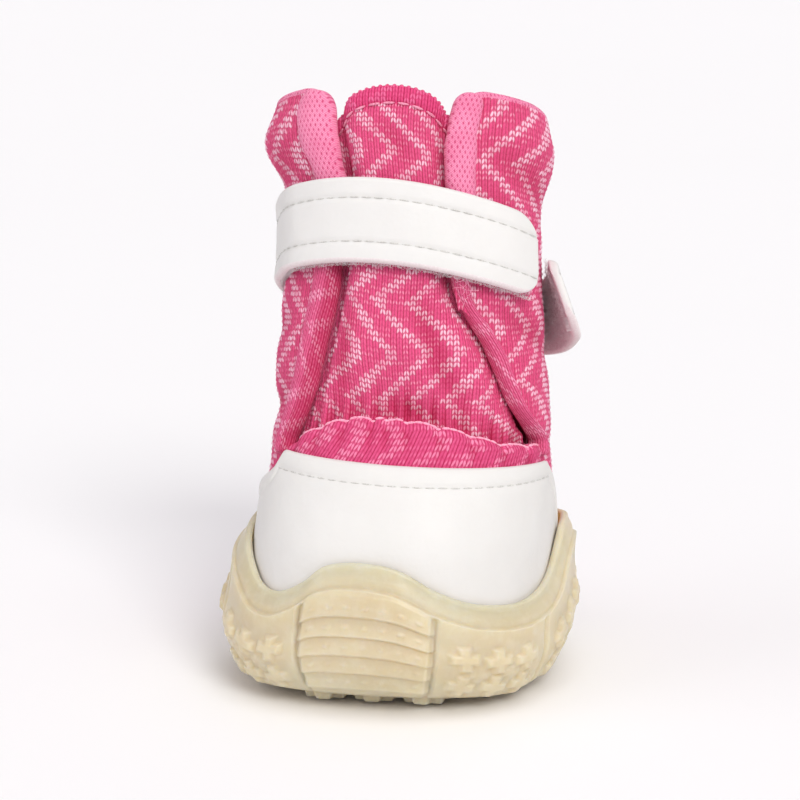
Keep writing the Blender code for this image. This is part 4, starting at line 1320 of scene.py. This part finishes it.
def make_outsole():
    """The rubber cup: tread, wall, the band under its rim, the lip, the inside and the floor."""
    bearings = np.linspace(-180, 180, 501)
    arc = np.radians(bearings) * SOLE_RADIUS / MM
    patch = Patch()

    def add(points, height):
        up = np.linspace(0, height, len(points))[:, None]
        patch.grid(points, np.stack(np.broadcast_arrays(arc, up), -1))

    share, bearing = crossed(np.linspace(0, 1, 66), bearings)
    share = share**0.72  # closer steps at the edge
    flat = place(SOLE_CLEAR, bearing, wall_out(bearing, 0.0 * bearing), share)
    tread = tread_depth(flat[..., 0], flat[..., 1]) * ease((1 - share) / 0.03)
    flat[..., 2] += spring_at(flat[..., 1]) - tread
    add(flat, 30.0)

    rise, bearing = crossed(np.linspace(0, 1, 86), bearings)
    edge = place(SOLE_CLEAR, bearing, wall_out(bearing, 0 * bearing))
    low = SOLE_CLEAR + spring_at(edge[..., 1])
    foot = rim_level(bearing) - BAND_WIDTH
    out = wall_out(bearing, rise) + wall_detail(bearing, rise) * ease(rise / 0.04)
    add(place(blend(low, foot, rise), bearing, out), 20.0)

    band = RIM_WALL + BAND_FLARE
    lip = [(-1.0, band + STEP_DEPTH), (-0.985, band + STEP_DEPTH * 0.55),
           (-0.93, band + 0.10 * STEP_DEPTH), (-0.86, band), (-0.7, band - 0.10 * BAND_FLARE),
           (-0.5, band - 0.45 * BAND_FLARE), (-0.3, band - 0.85 * BAND_FLARE)]
    for turn in np.linspace(0, math.pi, 9):
        half = (RIM_WALL + LIP_LEAN) / 2
        lip.append((LIP_DROP * (math.sin(turn) - 1), half - LIP_LEAN + half * math.cos(turn)))
    rows = []
    for drop, out in lip:
        level = rim_level(bearings) + drop * BAND_WIDTH
        rows.append(place(level, bearings, cup_out(bearings) + out))
    add(np.stack(rows), 6.0)

    rows = []
    for share in np.linspace(1, 0, 8):
        level = blend(FLOOR_TOP, rim_level(bearings) - LIP_DROP * BAND_WIDTH, share)
        rows.append(place(level, bearings, cup_out(bearings)))
    add(np.stack(rows), 20.0)
    rows = [place(FLOOR_TOP, bearings, cup_out(bearings), share) for share in (1.0, 0.6, 0.3, 0.0)]
    add(np.stack(rows), 20.0)
    piece = patch.build("gum_sole", [gum_look])
    return dress(piece, "outsole")


def make_insole():
    """A soft pad on the rubber floor, lightly quilted, with a rounded edge."""
    bearings = np.linspace(-180, 180, 161)
    inset = -(KNIT_WALL + TUCK_SLACK + GAP)
    level = FLOOR_TOP + GAP
    rows = []
    for share in np.linspace(0, 0.97, 30):
        crown = INSOLE_WALL - 0.25 * MM * (share / 0.97) ** 6
        points = place(level, bearings, inset, share)
        quilt = np.sin(points[:, 0] / MM * 0.5) * np.sin(points[:, 1] / MM * 0.4)
        points[:, 2] = level + crown + 0.12 * MM * quilt
        rows.append(points)
    rounding = ((0.99, INSOLE_WALL - 0.6 * MM), (1.0, INSOLE_WALL * 0.55), (0.995, 0.2 * MM))
    for share, height in rounding:
        points = place(level, bearings, inset, share)
        points[:, 2] = level + height
        rows.append(points)
    for share in (0.98, 0.5, 0.0):
        rows.append(place(level, bearings, inset, share))
    patch = Patch()
    points = np.stack(rows)
    patch.grid(points, points[..., :2] / MM, flip=True)
    piece = patch.build("insole_pad", [insole_look])
    face_outwards(piece)
    return dress(piece, "insole")


# Stitches and fibres, by Geometry Nodes


class Grower:
    """A geometry tree with named inputs; a node's inputs are fed as it is added."""

    def __init__(self, name, inputs):
        self.tree = bpy.data.node_groups.new(name, "GeometryNodeTree")
        face = self.tree.interface
        face.new_socket("Geometry", in_out="INPUT", socket_type="NodeSocketGeometry")
        for label, kind, value in inputs:
            face.new_socket(label, in_out="INPUT", socket_type=kind).default_value = value
        face.new_socket("Geometry", in_out="OUTPUT", socket_type="NodeSocketGeometry")
        self.given = self.tree.nodes.new("NodeGroupInput").outputs
        self.result = self.tree.nodes.new("NodeGroupOutput").inputs[0]

    def add(self, kind, fed, **settings):
        """Adds a node, sets and feeds it, and gives its outputs."""
        node = self.tree.nodes.new(kind)
        for key, value in settings.items():
            setattr(node, key, value)
        for socket, value in fed.items():
            if isinstance(value, bpy.types.NodeSocket):
                self.tree.links.new(value, node.inputs[socket])
            else:
                node.inputs[socket].default_value = value
        return node.outputs

    def finish(self, instances, look, smooth):
        mesh = self.add("GeometryNodeRealizeInstances", {0: instances})[0]
        if smooth:
            mesh = self.add("GeometryNodeSetShadeSmooth", {"Geometry": mesh})[0]
        mesh = self.add("GeometryNodeSetMaterial", {"Geometry": mesh, "Material": look})[0]
        self.tree.links.new(mesh, self.result)
        return self.tree


def stitch_tree(look):
    """Lays a rounded stitch at even steps along a path, each along the path."""
    g = Grower("stitch_row", (
        ("Pitch", "NodeSocketFloat", 0.0026),
        ("Length", "NodeSocketFloat", 0.0020),
        ("Thickness", "NodeSocketFloat", 0.0004),
    ))
    given = g.given
    curve = g.add("GeometryNodeMeshToCurve", {"Mesh": given["Geometry"]})
    steps = g.add("GeometryNodeResampleCurve",
                  {"Curve": curve["Curve"], "Length": given["Pitch"]}, mode="LENGTH")
    ball = g.add("GeometryNodeMeshUVSphere", {"Segments": 8, "Rings": 6, "Radius": 0.5})
    size = g.add("ShaderNodeCombineXYZ",
                 {0: given["Thickness"], 1: given["Thickness"], 2: given["Length"]})
    tangent = g.add("GeometryNodeInputTangent", {})
    turn = g.add("FunctionNodeAlignRotationToVector", {"Vector": tangent[0]}, axis="Z")
    put = g.add("GeometryNodeInstanceOnPoints", {
        "Points": steps["Curve"], "Instance": ball["Mesh"],
        "Rotation": turn["Rotation"], "Scale": size[0]})
    return g.finish(put["Instances"], look, True)


def fibre_tree(look):
    """Scatters short bent fibres over a face, at random turns from a fixed seed."""
    g = Grower("loop_pile", (
        ("Density", "NodeSocketFloat", 3.0e6),
        ("Fibre Length", "NodeSocketFloat", 0.0009),
        ("Fibre Radius", "NodeSocketFloat", 0.00004),
        ("Seed", "NodeSocketInt", 7),
    ))
    given = g.given
    points = g.add("GeometryNodeDistributePointsOnFaces", {
        "Mesh": given["Geometry"], "Density": given["Density"], "Seed": given["Seed"]})
    bend = g.add("GeometryNodeCurveQuadraticBezier", {
        "Resolution": 4, "Start": (0, 0, 0), "Middle": (0.25, 0.0, 0.9), "End": (0.9, 0.15, 0.35)})
    thick = g.add("ShaderNodeMath", {0: given["Fibre Radius"], 1: given["Fibre Length"]},
                  operation="DIVIDE")
    ring = g.add("GeometryNodeCurvePrimitiveCircle", {"Resolution": 3, "Radius": thick[0]})
    tube = g.add("GeometryNodeCurveToMesh", {"Curve": bend[0], "Profile Curve": ring["Curve"]})
    spin = g.add("FunctionNodeRandomValue", {
        "Min": (-0.5, -0.5, 0.0), "Max": (0.5, 0.5, 6.283), "Seed": given["Seed"]},
        data_type="FLOAT_VECTOR")
    turned = g.add("FunctionNodeEulerToRotation", {0: spin["Value"]})
    both = g.add("FunctionNodeRotateRotation", {
        "Rotation": points["Rotation"], "Rotate By": turned[0]}, rotation_space="LOCAL")
    put = g.add("GeometryNodeInstanceOnPoints", {
        "Points": points["Points"], "Instance": tube["Mesh"],
        "Rotation": both["Rotation"], "Scale": given["Fibre Length"]})
    return g.finish(put["Instances"], look, False)


def grown(name, base, tree, settings):
    """Runs a tree on a guide mesh and keeps the result as a plain mesh."""
    holder = added(name + "_guide", base)
    modifier = holder.modifiers.new("grow", "NODES")
    modifier.node_group = tree
    for item in tree.interface.items_tree:
        if item.item_type == "SOCKET" and item.in_out == "INPUT" and item.name in settings:
            modifier[item.identifier] = settings[item.name]
    bpy.context.view_layer.update()
    graph = bpy.context.evaluated_depsgraph_get()
    data = bpy.data.meshes.new_from_object(holder.evaluated_get(graph))
    data.name = name
    bpy.data.objects.remove(holder)
    return added(name, data)


def path_mesh(name, lines):
    """Lines of points as one mesh of edges, for stitches to follow."""
    edges = []
    start = 0
    for line in lines:
        edges += [(start + i, start + i + 1) for i in range(len(line) - 1)]
        start += len(line)
    return plain_mesh(name, np.concatenate(lines), edges=edges)


def make_stitches(name, lines, pitch, length, thickness, look):
    """A row of stitches; pitch, length and thickness in millimetres."""
    sizes = {"Pitch": pitch * MM, "Length": length * MM, "Thickness": thickness * MM}
    dress(grown(name, path_mesh(name + "_path", lines), stitch_tree(look), sizes))


def cap_stitch_line():
    bearings = np.linspace(-46, 76, 200)
    level = cap_top(bearings) - CAP_STITCH
    return place(level, bearings, cap_surface(level, bearings) + 0.02 * MM)


def band_stitch_lines(start, end, level_at, out_at):
    lines = []
    for sign in (-1, 1):
        bearings = np.linspace(start, end, 260)
        across = sign * (STRAP_WIDTH / 2 - STRAP_STITCH) + 0 * bearings
        level, inner = band_face(bearings, across, level_at, out_at)
        lines.append(place(level, bearings, inner + STRAP_WALL - 0.17 * MM))
    return lines


def hem_line():
    bearings = np.linspace(-34, 32, 130)
    level = tongue_top(bearings) - HEM
    return place(level, bearings, tongue_surface(level, bearings) + 0.42 * MM)


def hem_edge():
    bearings = np.linspace(-34.5, 33, 170)
    level = tongue_top(bearings)
    return place(level - 0.25 * MM, bearings, tongue_surface(level, bearings) - 0.7 * MM)


def seam_line():
    bearings = np.linspace(-43, 79, 900)
    level = vamp_edge(bearings) + 1.15 * MM
    return place(level, bearings, -0.35 * MM - 0.3 * MM * pinched(bearings))


def band_edge_guide(name, start, end, level_at, out_at, low, high):
    """A strip on a band's inner face, from low to high across it, for the pile to stand on."""
    parts, bearings = np.linspace(low, high, 7), np.linspace(start, end, 120)
    part, bearing = crossed(parts, bearings)
    level, inner = band_face(bearing, part * STRAP_WIDTH / 2, level_at, out_at)
    past = np.clip(-part - 0.97, 0, 0.04) / 0.04
    points = place(level, bearing, inner + PILE_FOOT * past)
    rows, columns = part.shape
    index = np.arange(rows * columns).reshape(rows, columns)
    faces = np.stack((index[:-1, :-1], index[1:, :-1], index[1:, 1:], index[:-1, 1:]), -1)
    return plain_mesh(name, points, faces=faces.reshape(-1, 4).tolist())


def frayed_patch():
    """A small guide face at the right throat edge, for a few frayed threads."""
    levels, bearings = np.linspace(0.0685, 0.0745, 3), np.linspace(33.0, 38.0, 3)
    level, bearing = crossed(levels, bearings)
    faces = [(i, i + 1, i + 4, i + 3) for i in (0, 1, 3, 4)]
    return plain_mesh("frayed_guide", place(level, bearing, 1.2 * MM), faces=faces)


def make_pile(name, base, density, length, radius, seed, look):
    """Short fibres on a guide; length and radius in millimetres."""
    sizes = {"Density": density, "Fibre Length": length * MM,
             "Fibre Radius": radius * MM, "Seed": seed}
    dress(grown(name, base, fibre_tree(look), sizes))


def build_boot():
    left = make_quarter("quarter_left", -1)
    right = make_quarter("quarter_right", 1)
    vamp = make_vamp()
    for piece in (left, right, vamp):
        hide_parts("upper")
    make_tongue()
    make_lining()
    make_binding("binding_roll_left", -1, "binding_left")
    make_binding("binding_roll_right", 1, "binding_right")
    make_cap()
    make_band("strap_leather", "strap", -179.4, STRAP_END, strap_level, strap_out)
    make_band("tab_leather", "closure_tab", 179.4, TAB_END, tab_level, tab_out)
    make_outsole()
    make_insole()
    strap_lines = band_stitch_lines(-178, 64, strap_level, strap_out)
    tab_lines = band_stitch_lines(86, 178, tab_level, tab_out)
    make_stitches("cap_stitches", [cap_stitch_line()], 2.2, 1.8, 0.28, thread_look)
    make_stitches("strap_stitches", strap_lines, 2.3, 1.9, 0.26, thread_look)
    make_stitches("tab_stitches", tab_lines, 2.3, 1.9, 0.26, thread_look)
    make_stitches("hem_stitches", [hem_line()], 2.7, 2.2, 0.46, pink_thread_look)
    make_stitches("hem_loops", [hem_edge()], WALE / MM, 0.85, 0.85, loop_look)
    make_stitches("seam_thread", [seam_line()], 1.35, 1.55, 0.55, seam_thread_look)
    make_pile("frayed_threads", frayed_patch(), 1.1e6, 2.6, 0.05, 3, seam_thread_look)
    under = band_edge_guide("strap_pile_guide", -150, 66, strap_level, strap_out, -1.01, -0.88)
    make_pile("strap_pile", under, 1.6e7, 0.8, 0.022, 7, fibre_look)
    inside = band_edge_guide("tab_pile_guide", 84, 150, tab_level, tab_out, -0.94, 0.94)
    make_pile("tab_pile", inside, 4.5e6, 1.0, 0.024, 11, fibre_look)


# Stage

FLOOR_HALF = 9.0

# Even, soft lights from far off: name, where from, strength, spread in radians, colour
FAR_LIGHTS = (
    ("key", (1.5, -2.6, 2.1), 1.55, 0.40, (1.0, 1.0, 0.98)),
    ("side", (-2.6, -1.5, 1.3), 0.42, 0.80, (0.99, 0.98, 1.0)),
    ("top", (0.6, -0.8, 3.0), 0.80, 0.70, (1.0, 1.0, 0.99)),
)

CAMERA_BEARING = 11.0
CAMERA_RISE = 12.0
CAMERA_AWAY = 0.60
CAMERA_LENS = 146.0
CAMERA_AIM = (0.0, 0.0, 0.0511)


def make_floor():
    corners = np.array([(-1, -1, 0), (1, -1, 0), (1, 1, 0), (-1, 1, 0)]) * FLOOR_HALF
    data = plain_mesh("floor", corners, faces=[(0, 1, 2, 3)])
    n = Nodes("floor_white")
    tone = n.noise(n.where(), 3.0, 2.0)
    white = n.mix(tone, (0.93, 0.93, 0.93), (0.95, 0.95, 0.95))
    data.materials.append(n.finish(white, 0.6, Specular_IOR_Level=0.15))
    added("floor", data)


def make_lamp(name, kind, where, aim, colour, **settings):
    data = bpy.data.lights.new(name, kind)
    data.color = colour
    for key, value in settings.items():
        setattr(data, key, value)
    lamp = added(name, data)
    lamp.location = where
    lamp.rotation_euler = (Vector(aim) - Vector(where)).to_track_quat("-Z", "Y").to_euler()


def make_stage():
    """A pale floor, even far lights in front, a wide lamp behind and a pale surround."""
    make_floor()
    for name, where, strength, spread, colour in FAR_LIGHTS:
        make_lamp(name, "SUN", where, (0, 0, 0), colour, energy=strength, angle=spread)
    make_lamp("back", "AREA", (0.3, 2.7, 2.7), (0, 0, 0.05), (1.0, 1.0, 1.0),
              shape="DISK", size=2.4, energy=5.0)
    world = bpy.data.worlds.new("studio")
    world.use_nodes = True
    background = world.node_tree.nodes["Background"]
    background.inputs[0].default_value = (1.0, 0.95, 1.0, 1.0)
    background.inputs[1].default_value = 0.48
    bpy.context.scene.world = world
    bpy.context.scene.view_settings.view_transform = "Standard"


def make_camera():
    turn, rise = math.radians(CAMERA_BEARING), math.radians(CAMERA_RISE)
    flat = math.cos(rise)
    back = Vector((math.sin(turn) * flat, -math.cos(turn) * flat, math.sin(rise)))
    data = bpy.data.cameras.new("camera")
    data.lens = CAMERA_LENS
    data.sensor_width = 36.0
    data.clip_start = 0.01
    camera = added("camera", data)
    camera.location = Vector(CAMERA_AIM) + back * CAMERA_AWAY
    camera.rotation_euler = back.to_track_quat("Z", "Y").to_euler()
    bpy.context.scene.camera = camera


make_camera()
build_boot()
make_stage()
